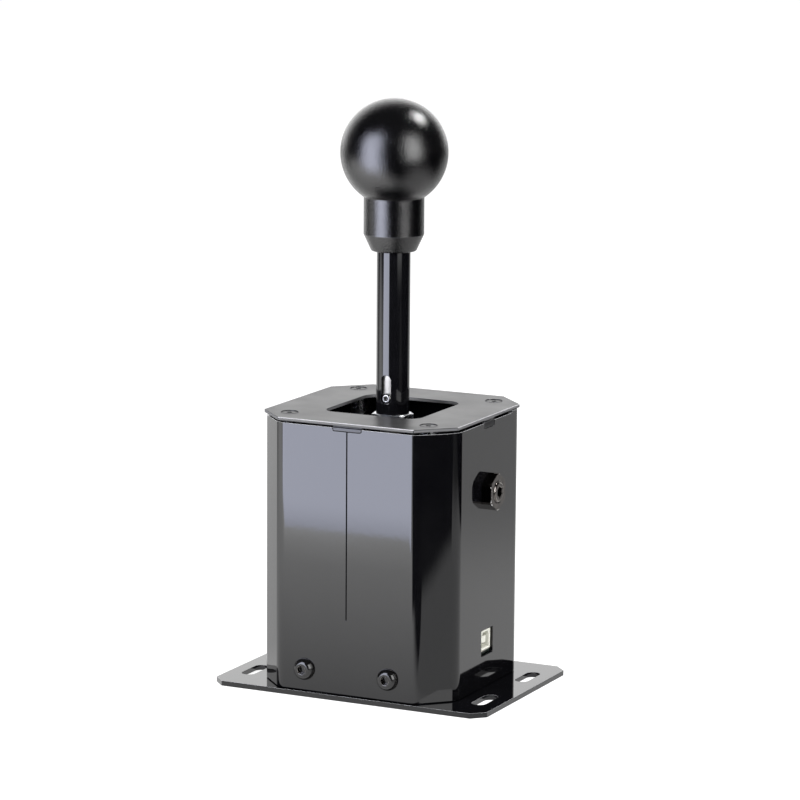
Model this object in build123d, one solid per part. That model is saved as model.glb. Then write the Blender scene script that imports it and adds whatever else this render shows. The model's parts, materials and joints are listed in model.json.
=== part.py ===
from build123d import *

import os
from math import cos, radians, sin

# A gear shifter for driving games, in millimetres, +Z up and +Y away from the driver.
# The origin is on the underside of the base plate, under the middle of the housing.
# A ball-topped lever stands on a two-axis pivot inside an eight-sided sheet housing.
# Below the pivot its tip runs in the slots of a gate plate, over a magnetic sensor.

# Base plate
base_length = 143.6
base_width = 100.5
base_thickness = 2.5
base_corner = 6.0
mount_slot_width = 7.0
mount_slot_length = 20.0
mount_slot_inset_x = 10.3
mount_slot_inset_y = 25.95

# Housing sleeve, bent from sheet, its two ends meeting in a seam at the front
housing_length = 102.0
housing_width = 96.7
housing_corner = 15.0
housing_wall = 2.0
housing_bend = 8.0
housing_height = 129.5
seam_width = 0.5
seam_foot = 36.5
usb_cutout_side_gap = 0.5
usb_cutout_top_gap = 0.3
usb_cutout_foot_gap = 1.9
usb_cutout_corner = 0.8

# Top plate, whose four tabs sit in notches of the housing's top edge
lid_gap = 0.3
lid_thickness = 1.6
lid_corner = 15.6
lid_front_overhang = 1.85
window_length = 50.0
window_width = 51.0
window_corner = 6.5
front_tab_width = 15.0
front_tab_depth = 2.5
side_tab_width = 11.6
side_tab_depth = 3.5
tab_corner = 1.0
tab_gap = 0.15

# Corner posts that tie the top plate to the base plate
post_diameter = 8.0
post_inset_x = 14.5
post_inset_y = 12.05

# Clearances shared by all fits
fit_gap = 0.05
running_gap = 0.05
slide_gap = 0.1
screw_gap = 0.1
end_gap = 0.3
overrun = 1.0

# M4 flat-head screws: four in the top plate, the rest up through the base plate
m4_diameter = 4.0
m4_head_diameter = 8.2
m4_head_height = 2.3
m4_recess = 0.1
m4_socket = 2.5
m4_socket_depth = 1.4
lid_screw_head_height = 1.4
lid_screw_length = 10.0
post_screw_length = 12.0
blind_end_gap = 2.0

# M6 button-head screws that hold the housing to the foot brackets
m6_diameter = 6.0
m6_head_diameter = 10.6
m6_head_height = 3.3
m6_head_flat_diameter = 6.4
m6_socket = 4.0
m6_socket_depth = 2.2
m6_length = 12.0
m6_nut_flats = 10.0
m6_nut_height = 5.0
housing_screw_inset = 8.0
housing_screw_rise = 10.6

# Foot brackets, angles inside the front and back of the housing
bracket_gauge = 3.0
bracket_end_gap = 6.0
bracket_height = 20.0
bracket_frame_gap = 5.35
bracket_bend = 4.5
bracket_screw_end_gap = 10.0
bracket_screw_share = 0.45

# Pivot frame, a U of sheet whose two uprights carry the bushes
frame_gauge = 3.0
frame_foot_depth = 44.0
frame_neck_depth = 32.0
frame_foot_height = 18.0
frame_shoulder_height = 40.0
frame_bend = 6.0
frame_crown = 16.0
frame_crown_share = 0.43
frame_cutout_side_gap = 2.5
frame_cutout_foot_gap = 4.0
frame_cutout_top_gap = 1.2
pivot_rise = 75.5

# Pivot bushes and shafts, for the swing towards and away from the driver
shaft_diameter = 10.0
shaft_collar_diameter = 14.0
shaft_spigot_diameter = 8.0
shaft_flat_share = 0.84
bush_diameter = 13.0
bush_flange_diameter = 17.0
bush_flange = 1.5
bush_stand_out = 1.5

# Shares of the free width from the lever block out to the adjuster bush.
# The first is beside the block, the second is the shafts' collar, and the rest is beside the sector.
block_side_share = 0.43
collar_share = 0.35

# Yoke frame, a ring with two ears for the centring springs
yoke_end_wall = 7.0
yoke_side_wall = 6.0
yoke_height = 16.0
yoke_round = 3.0
ear_thickness = 3.5
ear_width = 14.0
ear_round = 5.0
spring_peg_gap = 0.5
spring_peg_length = 3.0

# Select pin and its bushes, for the swing from column to column
select_pin_diameter = 8.0
select_bush_diameter = 12.0
select_bush_flange_diameter = 15.0
select_bush_flange = 1.2
select_bush_length = 7.0
clip_diameter = 11.0
clip_thickness = 0.9
clip_groove_depth = 0.6
clip_inset = 0.4
clip_mouth = 5.0

# Lever block on the select pin
block_length = 18.0
block_depth = 18.0
block_drop = 18.0
block_shoulder = 14.0
block_neck_depth = 14.0
block_round = 2.0

# Centring springs between the block's neck and the yoke's ears
spring_rise = 20.0
spring_head_room = 6.0
spring_mean_diameter = 7.0
spring_wire = 1.0
spring_turns = 5
spring_pocket_depth = 1.5

# Lever: rod, tube that slides on it, clamping screw, lock nut and knob
rod_diameter = 12.0
rod_seat = 8.0
rod_length = 114.0
tube_diameter = 16.0
tube_rise = 53.0
tube_length = 106.0
tube_slot_rise = 5.0
tube_slot_width = 5.4
tube_slot_length = 14.1
height_screw_diameter = 5.0
height_screw_gap = 0.2
height_screw_socket = 2.5
height_screw_socket_depth = 2.5
height_screw_inset = 0.5
height_screw_reach = 3.0
height_nut_flats = 18.0
height_nut_turn = 26.0
height_nut_height = 6.0
knob_rise = 78.1
knob_bottom_diameter = 22.1
knob_bottom_round = 1.0
knob_cone_height = 7.8
knob_neck_diameter = 28.8
knob_ball_diameter = 51.2
knob_ball_rise = 46.8

# Gate: a ball tip in the slots of the gate plate
gate_ball_rise = 24.5
gate_ball_diameter = 6.0
gate_ball_flat_share = 0.87
gate_waist_diameter = 4.0
gate_shank_diameter = 7.0
gate_shank_length = 24.0
gate_taper_length = 6.0
gate_pin_seat = 11.0
gate_gap = 0.35
gate_end_gap = 2.5
gate_thickness = 4.0
gate_corner = 4.0
gate_ball_height_share = 0.375
gate_screw_diameter = 3.0
gate_screw_head_diameter = 5.5
gate_screw_head_height = 1.7
gate_screw_socket = 2.0
gate_screw_socket_depth = 1.0
gate_screw_length = 7.0
shift_angle = 12.0
select_angle = 10.0

# Controller board between two tiers of standoffs
standoff_inset = 5.0
standoff_flats = 7.0
standoff_tap_share = 0.67
upper_standoff_height = 5.7
stud_share = 0.35
board_thickness = 1.6
board_end_gap = 3.5
board_side_gap = 1.0
board_corner = 1.5
tongue_width = 15.0
tongue_end_inset = 1.0
magnet_diameter = 4.0
magnet_height = 1.9
sensor_size = 4.0
sensor_height = 1.2
processor_size = 8.0
processor_height = 1.0
processor_place_x = 14.0
processor_place_y = 9.0
regulator_length = 6.5
regulator_width = 3.6
regulator_height = 1.7

# USB-B socket at the board's edge
usb_width = 12.0
usb_height = 10.5
usb_depth = 16.0
usb_shell_wall = 0.5
usb_recess = 1.0
usb_mouth_width = 8.6
usb_mouth_height = 7.9
usb_mouth_corner = 1.9
usb_mouth_depth = 9.0
usb_tongue_width = 5.6
usb_tongue_height = 3.2
usb_tongue_back = 1.0

# Detent: a sprung ball in the adjuster screw runs along a grooved sector on the right shaft
detent_radius = 19.6
detent_ball_diameter = 6.0
detent_ball_gap = 0.2
groove_depth = 1.2
dimple_extra = 0.6
sector_thickness = 4.0
sector_hub_diameter = 18.0
sector_boss_diameter = 14.0
sector_boss = 2.2
sector_rim = 2.2
sector_half_angle = 27.0
sector_screw_head_diameter = 7.6
sector_screw_head_height = 2.2
sector_screw_length = 10.0
sector_screw_socket = 2.5
sector_screw_socket_depth = 1.3
adjuster_diameter = 10.0
adjuster_mouth_gap = 1.4
adjuster_stand_out = 0.7
adjuster_socket = 5.0
adjuster_socket_depth = 3.0
adjuster_web = 1.4
adjuster_nut_flats = 16.0
adjuster_nut_height = 5.0
adjuster_bush_diameter = 17.0
adjuster_bush_height = 4.0
adjuster_hole_gap = 0.3
detent_spring_mean_diameter = 4.4
detent_spring_wire = 0.6
detent_spring_turns = 5

# Proportions of standard parts, and turns
hex_sides = 6
wire_sides = 8
nut_corner_share = 0.965
hex_step = 30
quarter_turn = 90
half_turn = 180

# Places worked out from the sizes above
base_top = base_thickness
housing_top = base_top + housing_height
lid_bottom = housing_top + lid_gap
lid_top = lid_bottom + lid_thickness
lid_width = housing_width + 2 * lid_front_overhang
housing_side = housing_length / 2
housing_front = housing_width / 2
wall_inside_x = housing_side - housing_wall
wall_inside_y = housing_front - housing_wall
post_x = housing_side - post_inset_x
post_y = housing_front - post_inset_y
slot_pitch_x = base_length - 2 * mount_slot_inset_x
slot_pitch_y = base_width - 2 * mount_slot_inset_y
bracket_length = housing_length - 2 * housing_corner - 2 * bracket_end_gap
housing_screw_pitch = bracket_length - 2 * housing_screw_inset
housing_screw_z = base_top + housing_screw_rise
bracket_depth = wall_inside_y - bracket_gauge - frame_foot_depth / 2 - bracket_frame_gap
bracket_screw_pitch = bracket_length - 2 * bracket_screw_end_gap
bracket_screw_y = wall_inside_y - bracket_gauge - bracket_depth * bracket_screw_share
bracket_screw_length = base_thickness + bracket_gauge - 2 * m4_recess
pivot_z = base_top + pivot_rise

# Along X, from the lever block out to the housing's right wall
sector_stack = sector_boss + sector_thickness + adjuster_bush_height
upright_stack = end_gap + bush_flange + frame_gauge + bush_stand_out + end_gap
block_half = block_length / 2
free_x = wall_inside_x - block_half - yoke_end_wall - upright_stack - sector_stack
yoke_inner_x = block_half + free_x * block_side_share
yoke_outer_x = yoke_inner_x + yoke_end_wall
collar_end_x = yoke_outer_x + free_x * collar_share
frame_inner_x = collar_end_x + end_gap + bush_flange
frame_outer_x = frame_inner_x + frame_gauge
yoke_inner_y = block_depth / 2 + select_bush_flange + end_gap
yoke_outer_y = yoke_inner_y + yoke_side_wall
bush_end_x = frame_outer_x + bush_stand_out
boss_start_x = bush_end_x + end_gap
sector_back_x = boss_start_x + sector_boss
sector_face_x = sector_back_x + sector_thickness
spring_z = pivot_z + spring_rise
ear_top = spring_z + spring_head_room
spring_peg_diameter = spring_mean_diameter - spring_wire - 2 * spring_peg_gap
rod_bottom = pivot_z + rod_seat
tube_bottom = pivot_z + tube_rise
tube_slot_bottom = tube_bottom + tube_slot_rise
height_screw_z = tube_slot_bottom + height_screw_gap + height_screw_diameter / 2
knob_bottom = tube_bottom + knob_rise
gate_ball_z = base_top + gate_ball_rise
gate_arm = pivot_z - gate_ball_z
gate_bottom = gate_ball_z - gate_thickness * gate_ball_height_share
gate_length = 2 * (frame_inner_x - gate_end_gap)
gate_width = frame_foot_depth
frame_floor = base_top + frame_gauge
board_top = gate_bottom - upper_standoff_height
board_bottom = board_top - board_thickness
board_length = 2 * (frame_inner_x - board_end_gap)
board_width = frame_foot_depth - 2 * board_side_gap
standoff_x = gate_length / 2 - standoff_inset
standoff_y = gate_width / 2 - standoff_inset
lower_standoff_height = board_bottom - frame_floor
standoff_tap_depth = lower_standoff_height * standoff_tap_share
frame_screw_length = base_thickness + frame_gauge + standoff_tap_depth - blind_end_gap
stud_length = upper_standoff_height * stud_share
usb_front_x = housing_side - usb_recess
usb_middle_z = board_top + usb_height / 2
groove_radius = detent_ball_diameter / 2 + detent_ball_gap
ball_x = sector_face_x - groove_depth + groove_radius
adjuster_z = pivot_z + detent_radius
adjuster_mouth_x = sector_face_x + adjuster_mouth_gap
adjuster_end_x = housing_side + adjuster_nut_height + adjuster_stand_out
adjuster_floor_x = adjuster_end_x - adjuster_socket_depth - adjuster_web
usb_cutout_width = usb_width + 2 * usb_cutout_side_gap
usb_cutout_height = usb_height + usb_cutout_top_gap + usb_cutout_foot_gap
usb_cutout_z = usb_middle_z + (usb_cutout_top_gap - usb_cutout_foot_gap) / 2
frame_cutout_width = tongue_width + 2 * frame_cutout_side_gap
frame_cutout_foot = board_bottom - frame_cutout_foot_gap
frame_cutout_top = board_top + usb_height + frame_cutout_top_gap

signs = (-1, 1)
corners = [(sx, sy) for sx in signs for sy in signs]
standing = (Align.CENTER, Align.CENTER, Align.MIN)


def along_x(shape):
    """Lays a shape that stands on Z along +X."""
    return Rot(0, quarter_turn, 0) * shape


def along_y(shape):
    """Lays a shape that stands on Z along +Y."""
    return Rot(-quarter_turn, 0, 0) * shape


def rod(diameter, length):
    """A round bar that stands on Z."""
    return Cylinder(diameter / 2, length, align=standing)


def span(x0, x1, y0, y1, z0, z1):
    """A block between two corners."""
    middle = Pos((x0 + x1) / 2, (y0 + y1) / 2, (z0 + z1) / 2)
    return middle * Box(x1 - x0, y1 - y0, z1 - z0)


def hexagon(flats):
    """A hexagon by its width across flats."""
    return RegularPolygon(flats / 2, hex_sides, major_radius=False)


def socket(flats, depth):
    """The cut of a hexagon socket, down from the origin."""
    return extrude(hexagon(flats), -depth)


def clipped(length, width, corner):
    """A rectangle with its four corners cut off."""
    return chamfer(Rectangle(length, width).vertices(), corner)


def rounded(length, width, radius):
    """A rectangle with round corners."""
    return fillet(Rectangle(length, width).vertices(), radius)


def group(solids):
    """Separate solids that share one node."""
    return Compound(children=list(solids))


def flat_head_screw(head_height, length):
    """An M4 countersunk socket screw, its head's face at the origin and its shank down -Z."""
    head = Cone(m4_diameter / 2, m4_head_diameter / 2, head_height, align=standing)
    screw = Pos(0, 0, -head_height) * head + Pos(0, 0, -length) * rod(m4_diameter, length)
    return screw - socket(m4_socket, min(m4_socket_depth, length / 2))


def flat_head_hole(head_height, depth):
    """The countersunk hole for that screw, with its clearance."""
    top = m4_head_diameter / 2 + screw_gap
    foot = m4_diameter / 2 + screw_gap
    sink = Pos(0, 0, -head_height) * Cone(foot, top, head_height, align=standing)
    mouth = rod(2 * top, m4_recess + overrun)
    return sink + mouth + Pos(0, 0, -depth) * rod(2 * foot, depth)


def button_screw(diameter, length, head_diameter, head_height, flat_diameter, flats, depth):
    """A button-head socket screw: its seat at the origin, its head up +Z."""
    rim = (head_diameter / 2, 0)
    flat = (flat_diameter / 2, head_height)
    crown = TangentArc(rim, flat, tangent=(0, head_height))
    edges = [Line((0, 0), rim), crown, Line(flat, (0, head_height)), Line((0, head_height), (0, 0))]
    head = revolve(Plane.XZ * make_face(edges), Axis.Z)
    screw = head + Pos(0, 0, -length) * rod(diameter, length)
    return screw - Pos(0, 0, head_height) * socket(flats, depth)


def hex_nut(flats, height, bore):
    """A hexagon nut that stands on Z, with its corners turned off."""
    across_corners = flats / cos(radians(hex_step)) * nut_corner_share
    blank = extrude(hexagon(flats), height)
    turned = rod(across_corners, height)
    bevel = (across_corners - flats) / 2
    turned = chamfer(turned.edges().filter_by(GeomType.CIRCLE), bevel / 2, bevel)
    return (blank & turned) - rod(bore, height)


def coil_spring(mean_diameter, wire, length, turns):
    """An open coil that stands on Z, of wire with flats, which keeps its mesh small."""
    rise = length - wire
    path = Helix(rise / turns, rise, mean_diameter / 2)
    coil = sweep((path ^ 0) * RegularPolygon(wire / 2, wire_sides), path, is_frenet=True)
    return Pos(0, 0, wire / 2) * coil


def upward_screws(places, length):
    """Flat-head screws through the base plate from beneath."""
    screw = Rot(half_turn, 0, 0) * flat_head_screw(m4_head_height, length)
    return [Pos(x, y, m4_recess) * screw for x, y in places]


post_places = [(sx * post_x, sy * post_y) for sx, sy in corners]
frame_places = [(sx * standoff_x, sy * standoff_y) for sx, sy in corners]
bracket_places = [(sx * bracket_screw_pitch / 2, sy * bracket_screw_y) for sx, sy in corners]
housing_places = [(sx * housing_screw_pitch / 2, sy) for sx, sy in corners]


def base_plate():
    """Slotted plate that everything stands on."""
    outline = clipped(base_length, base_width, base_corner)
    slot = SlotOverall(mount_slot_length, mount_slot_width, rotation=quarter_turn)
    outline -= [Pos(sx * slot_pitch_x / 2, sy * slot_pitch_y / 2) * slot for sx, sy in corners]
    plate = extrude(outline, base_thickness)
    hole = Rot(half_turn, 0, 0) * flat_head_hole(m4_head_height, base_thickness + overrun)
    places = post_places + frame_places + bracket_places
    return plate - [Pos(x, y, m4_recess) * hole for x, y in places]


def tab(width, depth, distance, gap):
    """A tab of the top plate in the wall's thickness at +Y, with a gap round it; zero is the tab itself."""
    height = lid_gap + depth + gap
    outline = Pos(0, -height / 2) * Rectangle(width + 2 * gap, height)
    outline = fillet(outline.vertices().group_by(Axis.Y)[0], tab_corner + gap)
    return Pos(0, distance, lid_bottom) * extrude(Plane.XZ * outline, housing_wall)


def tabs(gap):
    """All four tabs, one over each face of the housing."""
    made = []
    for turn in (0, half_turn):
        made.append(Rot(0, 0, turn) * tab(front_tab_width, front_tab_depth, housing_front, gap))
        side = Rot(0, 0, quarter_turn) * tab(side_tab_width, side_tab_depth, housing_side, gap)
        made.append(Rot(0, 0, turn) * side)
    return made


def housing_shell():
    """Eight-sided sleeve of bent sheet, open at the top and bottom."""
    outline = clipped(housing_length, housing_width, housing_corner)
    outline = fillet(outline.vertices(), housing_bend)
    sleeve = Pos(0, 0, base_top) * extrude(outline - offset(outline, -housing_wall), housing_height)
    sleeve -= tabs(tab_gap)
    seam = seam_width / 2
    front = (-housing_front - overrun, -wall_inside_y + overrun)
    sleeve -= span(-seam, seam, *front, base_top + seam_foot, housing_top + overrun)
    hole = Plane.YZ * rounded(usb_cutout_width, usb_cutout_height, usb_cutout_corner)
    sleeve -= Pos(wall_inside_x - overrun, 0, usb_cutout_z) * extrude(hole, housing_wall + 2 * overrun)
    bore = along_x(rod(adjuster_diameter + 2 * adjuster_hole_gap, housing_wall + 2 * overrun))
    sleeve -= Pos(wall_inside_x - overrun, 0, adjuster_z) * bore
    screw_hole = along_y(rod(m6_diameter + 2 * screw_gap, housing_wall + 2 * overrun))
    for x, side in housing_places:
        start = min(side * housing_front, side * wall_inside_y) - overrun
        sleeve -= Pos(x, start, housing_screw_z) * screw_hole
    return sleeve


def top_plate():
    """Window plate with its tabs and countersunk holes."""
    outline = clipped(housing_length, lid_width, lid_corner)
    outline -= rounded(window_length, window_width, window_corner)
    plate = Pos(0, 0, lid_bottom) * extrude(outline, lid_thickness) + tabs(0)
    hole = flat_head_hole(lid_screw_head_height, lid_thickness + overrun)
    return plate - [Pos(x, y, lid_top - m4_recess) * hole for x, y in post_places]


def corner_posts():
    """Round posts, tapped at both ends."""
    height = lid_bottom - base_top
    tap = m4_diameter + 2 * fit_gap
    post = rod(post_diameter, height)
    post -= rod(tap, post_screw_length)
    post -= Pos(0, 0, height - lid_screw_length) * rod(tap, lid_screw_length)
    return group(Pos(x, y, base_top) * post for x, y in post_places)


def top_plate_screws():
    """Flush screws in the top plate."""
    screw = flat_head_screw(lid_screw_head_height, lid_screw_length)
    return group(Pos(x, y, lid_top - m4_recess) * screw for x, y in post_places)


def foot_bracket(side):
    """Bent angle that holds the housing's lower edge, at the front (-1) or the back (1)."""
    outer = wall_inside_y
    inner = outer - bracket_gauge
    reach = inner - bracket_depth
    top = base_top + bracket_height
    floor = base_top + bracket_gauge
    points = [(outer, base_top), (outer, top), (inner, top), (inner, floor), (reach, floor), (reach, base_top)]
    section = make_face(Polyline(*points, close=True))
    bends = [(points[0], bracket_bend), (points[3], bracket_bend - bracket_gauge)]
    for (y, z), radius in bends:
        corner = section.vertices().sort_by_distance((y, z, 0))[0]
        section = fillet(corner, radius)
    angle = extrude(Plane.YZ * section, bracket_length / 2, both=True)
    for sx in signs:
        x = sx * housing_screw_pitch / 2
        bore = along_y(rod(m6_diameter + 2 * screw_gap, bracket_gauge + 2 * overrun))
        angle -= Pos(x, inner - overrun, housing_screw_z) * bore
        tap = rod(m4_diameter + 2 * fit_gap, bracket_gauge + 2 * overrun)
        angle -= Pos(sx * bracket_screw_pitch / 2, bracket_screw_y, base_top - overrun) * tap
    return angle if side > 0 else Rot(0, 0, half_turn) * angle


def housing_weld_nuts():
    """Nuts on the brackets' inner faces."""
    nut = hex_nut(m6_nut_flats, m6_nut_height, m6_diameter + 2 * fit_gap)
    nut = along_y(Rot(0, 0, hex_step) * nut)
    seat = wall_inside_y - bracket_gauge - m6_nut_height
    back = [Pos(sx * housing_screw_pitch / 2, seat, housing_screw_z) * nut for sx in signs]
    return group(back + [Rot(0, 0, half_turn) * nut for nut in back])


def housing_screws():
    """Button-head screws, two in front and two behind."""
    screw = button_screw(
        m6_diameter,
        m6_length,
        m6_head_diameter,
        m6_head_height,
        m6_head_flat_diameter,
        m6_socket,
        m6_socket_depth,
    )
    screw = along_y(screw)
    back = [Pos(sx * housing_screw_pitch / 2, housing_front, housing_screw_z) * screw for sx in signs]
    return group(back + [Rot(0, 0, half_turn) * screw for screw in back])


def pivot_frame():
    """U of sheet: a web on the base plate and two uprights with round crowns."""
    top = pivot_z + frame_crown
    outer, inner = frame_outer_x, frame_inner_x
    points = [
        (-outer, base_top),
        (outer, base_top),
        (outer, top),
        (inner, top),
        (inner, frame_floor),
        (-inner, frame_floor),
        (-inner, top),
        (-outer, top),
    ]
    section = make_face(Polyline(*points, close=True))
    inside = frame_bend - frame_gauge
    bends = [(0, frame_bend), (1, frame_bend), (4, inside), (5, inside)]
    for index, radius in bends:
        x, z = points[index]
        corner = section.vertices().sort_by_distance((x, z, 0))[0]
        section = fillet(corner, radius)
    strip = extrude(Plane.XZ * section, frame_foot_depth / 2, both=True)
    foot, neck = frame_foot_depth / 2, frame_neck_depth / 2
    low, high = base_top + frame_foot_height, base_top + frame_shoulder_height
    side = [(-foot, 0), (foot, 0), (foot, low), (neck, high), (neck, top)]
    side += [(-neck, top), (-neck, high), (-foot, low)]
    outline = make_face(Polyline(*side, close=True))
    crown = outline.vertices().group_by(Axis.Y)[-1]
    outline = fillet(crown, frame_neck_depth * frame_crown_share)
    strip &= extrude(Plane.YZ * outline, outer + overrun, both=True)
    bore = along_x(rod(bush_diameter + 2 * fit_gap, 2 * (outer + overrun)))
    strip -= Pos(-outer - overrun, 0, pivot_z) * bore
    half = frame_cutout_width / 2
    strip -= span(inner - overrun, outer + overrun, -half, half, frame_cutout_foot, frame_cutout_top)
    hole = rod(m4_diameter + 2 * screw_gap, frame_gauge + 2 * overrun)
    return strip - [Pos(x, y, base_top - overrun) * hole for x, y in frame_places]


def pivot_bush(side):
    """Flanged bush in one upright; -1 is the left."""
    body_length = bush_end_x - frame_inner_x + bush_flange
    bush = rod(bush_diameter, body_length) + rod(bush_flange_diameter, bush_flange)
    bush -= rod(shaft_diameter + 2 * running_gap, body_length)
    bush = Pos(frame_inner_x - bush_flange, 0, pivot_z) * along_x(bush)
    return bush if side > 0 else Rot(0, 0, half_turn) * bush


def shaft_end(length, gap):
    """The right shaft's flattened end, laid along +X, or the hole for it with a gap."""
    radius = shaft_diameter / 2
    flat = radius * shaft_flat_share + gap
    keep = Pos(0, (flat - shaft_diameter) / 2) * Rectangle(2 * shaft_diameter, shaft_diameter + flat)
    return extrude(Plane.YZ * (Circle(radius + gap) & keep), length)


def pivot_shaft(side):
    """Shaft with a spigot in the yoke; the right one goes on, flattened, into the sector."""
    shaft = rod(shaft_spigot_diameter, yoke_end_wall)
    collar = rod(shaft_collar_diameter, collar_end_x - yoke_outer_x)
    journal = rod(shaft_diameter, boss_start_x - yoke_outer_x)
    shaft += Pos(0, 0, yoke_end_wall) * (collar + journal)
    shaft = Pos(yoke_inner_x, 0, pivot_z) * along_x(shaft)
    if side < 0:
        return Rot(0, 0, half_turn) * shaft
    shaft += Pos(boss_start_x, 0, pivot_z) * shaft_end(sector_boss + sector_thickness, 0)
    tap = rod(m4_diameter + 2 * fit_gap, sector_screw_length)
    return shaft - Pos(sector_face_x - sector_screw_length, 0, pivot_z) * along_x(tap)


def yoke_frame():
    """Ring around the lever block, with an ear at each end for a centring spring."""
    outer = rounded(2 * yoke_outer_x, 2 * yoke_outer_y, yoke_round)
    inner = rounded(2 * yoke_inner_x, 2 * yoke_inner_y, yoke_round)
    ring = Pos(0, 0, pivot_z - yoke_height / 2) * extrude(outer - inner, yoke_height)
    ear_height = ear_top - pivot_z - yoke_height / 2
    ear = Pos(0, ear_height / 2) * Rectangle(ear_width, ear_height)
    ear = fillet(ear.vertices().group_by(Axis.Y)[-1], ear_round)
    peg = along_x(Rot(0, half_turn, 0) * rod(spring_peg_diameter, spring_peg_length))
    ear = extrude(Plane.YZ * ear, ear_thickness)
    ear += Pos(0, 0, spring_z - pivot_z - yoke_height / 2) * peg
    ear = Pos(yoke_outer_x - ear_thickness, 0, pivot_z + yoke_height / 2) * ear
    frame = ring + ear + Rot(0, 0, half_turn) * ear
    pin_bore = rod(select_pin_diameter + 2 * fit_gap, 2 * (yoke_outer_y + overrun))
    frame -= Pos(0, -yoke_outer_y - overrun, pivot_z) * along_y(pin_bore)
    shaft_bore = rod(shaft_spigot_diameter + 2 * fit_gap, 2 * (yoke_outer_x + overrun))
    return frame - Pos(-yoke_outer_x - overrun, 0, pivot_z) * along_x(shaft_bore)


pin_end_y = yoke_outer_y + fit_gap + clip_thickness + clip_inset


def select_pin():
    """Pin through the yoke, with a groove for a clip near each end."""
    pin = rod(select_pin_diameter, 2 * pin_end_y)
    band = rod(select_pin_diameter + overrun, clip_thickness)
    band -= rod(select_pin_diameter - 2 * clip_groove_depth, clip_thickness)
    pin -= Pos(0, 0, clip_inset) * band
    pin -= Pos(0, 0, 2 * pin_end_y - clip_inset - clip_thickness) * band
    return Pos(0, -pin_end_y, pivot_z) * along_y(pin)


def select_pin_clips():
    """Open retaining clips in the pin's grooves."""
    ring = Circle(clip_diameter / 2) - Circle(select_pin_diameter / 2 - clip_groove_depth + fit_gap)
    ring -= Pos(0, -clip_diameter / 2) * Rectangle(clip_mouth, clip_diameter)
    clip = along_y(extrude(ring, clip_thickness - fit_gap))
    clip = Pos(0, pin_end_y - clip_inset - clip_thickness + fit_gap / 2, pivot_z) * clip
    return group([clip, Rot(0, 0, half_turn) * clip])


def select_bush(side):
    """Flanged bush in the lever block; -1 is the front."""
    length = select_bush_length + select_bush_flange
    bush = rod(select_bush_diameter, length)
    bush += Pos(0, 0, select_bush_length) * rod(select_bush_flange_diameter, select_bush_flange)
    bush -= rod(select_pin_diameter + 2 * running_gap, length)
    bush = Pos(0, block_depth / 2 - select_bush_length, pivot_z) * along_y(bush)
    return bush if side > 0 else Rot(0, 0, half_turn) * bush


def lever_block():
    """Block that turns on the select pin and carries the rod above and the gate pin below."""
    body = rounded(block_length, block_depth, block_round)
    neck = rounded(block_length, block_neck_depth, block_round)
    block = Pos(0, 0, pivot_z - block_drop) * extrude(body, block_drop + block_shoulder)
    block += Pos(0, 0, pivot_z) * extrude(neck, ear_top - pivot_z)
    cross = rod(select_bush_diameter + 2 * fit_gap, block_depth + 2 * overrun)
    block -= Pos(0, -block_depth / 2 - overrun, pivot_z) * along_y(cross)
    block -= Pos(0, 0, rod_bottom) * rod(rod_diameter + 2 * fit_gap, ear_top - rod_bottom)
    seat = rod(gate_shank_diameter + 2 * fit_gap, gate_pin_seat)
    block -= Pos(0, 0, pivot_z - block_drop) * seat
    pocket = rod(spring_mean_diameter + spring_wire + 2 * end_gap, spring_pocket_depth + overrun)
    pocket = Pos(block_length / 2 - spring_pocket_depth, 0, spring_z) * along_x(pocket)
    return block - [pocket, Rot(0, 0, half_turn) * pocket]


def centring_spring(side):
    """Coil between the block's pocket and the yoke's ear; -1 is the left."""
    start = block_length / 2 - spring_pocket_depth + fit_gap
    end = yoke_outer_x - ear_thickness - fit_gap
    coil = coil_spring(spring_mean_diameter, spring_wire, end - start, spring_turns)
    coil = Pos(start, 0, spring_z) * along_x(coil)
    return coil if side > 0 else Rot(0, 0, half_turn) * coil


def lever_rod():
    """Bright rod, cross-drilled for the clamping screw."""
    bar = Pos(0, 0, rod_bottom) * rod(rod_diameter, rod_length)
    hole = along_y(rod(height_screw_diameter + 2 * fit_gap, height_screw_reach + overrun))
    return bar - Pos(0, -rod_diameter / 2 - overrun, height_screw_z) * hole


def height_screw():
    """Socket set screw that shows in the tube's slot."""
    outer = tube_diameter / 2 - height_screw_inset
    inner = rod_diameter / 2 - height_screw_reach
    screw = rod(height_screw_diameter, outer - inner)
    screw -= Pos(0, 0, outer - inner) * socket(height_screw_socket, height_screw_socket_depth)
    return Pos(0, -inner, height_screw_z) * Rot(quarter_turn, 0, 0) * screw


def lever_tube():
    """Tube that slides on the rod, slotted towards the driver."""
    tube = rod(tube_diameter, tube_length) - rod(rod_diameter + 2 * slide_gap, tube_length)
    slot = SlotOverall(tube_slot_length, tube_slot_width, rotation=quarter_turn)
    slot = extrude(Plane.XZ * slot, tube_diameter)
    tube -= Pos(0, 0, tube_slot_rise + tube_slot_length / 2) * slot
    return Pos(0, 0, tube_bottom) * tube


def height_nut():
    """Lock nut under the tube's end."""
    nut = hex_nut(height_nut_flats, height_nut_height, rod_diameter + 2 * slide_gap)
    return Pos(0, 0, tube_bottom - height_nut_height) * Rot(0, 0, height_nut_turn) * nut


def shift_knob():
    """Turned knob: a cone, a neck and a ball, bored from below for the tube."""
    neck = knob_neck_diameter / 2
    ball = knob_ball_diameter / 2
    foot = knob_bottom_diameter / 2
    points = [(0, 0), (foot, 0), (neck, knob_cone_height), (neck, knob_ball_rise), (0, knob_ball_rise)]
    profile = make_face(Polyline(*points, close=True))
    rim = profile.vertices().sort_by_distance((foot, 0, 0))[0]
    profile = fillet(rim, knob_bottom_round)
    knob = revolve(Plane.XZ * profile, Axis.Z) + Pos(0, 0, knob_ball_rise) * Sphere(ball)
    depth = tube_length - knob_rise
    knob -= rod(tube_diameter + 2 * fit_gap, depth)
    return Pos(0, 0, knob_bottom) * knob


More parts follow.
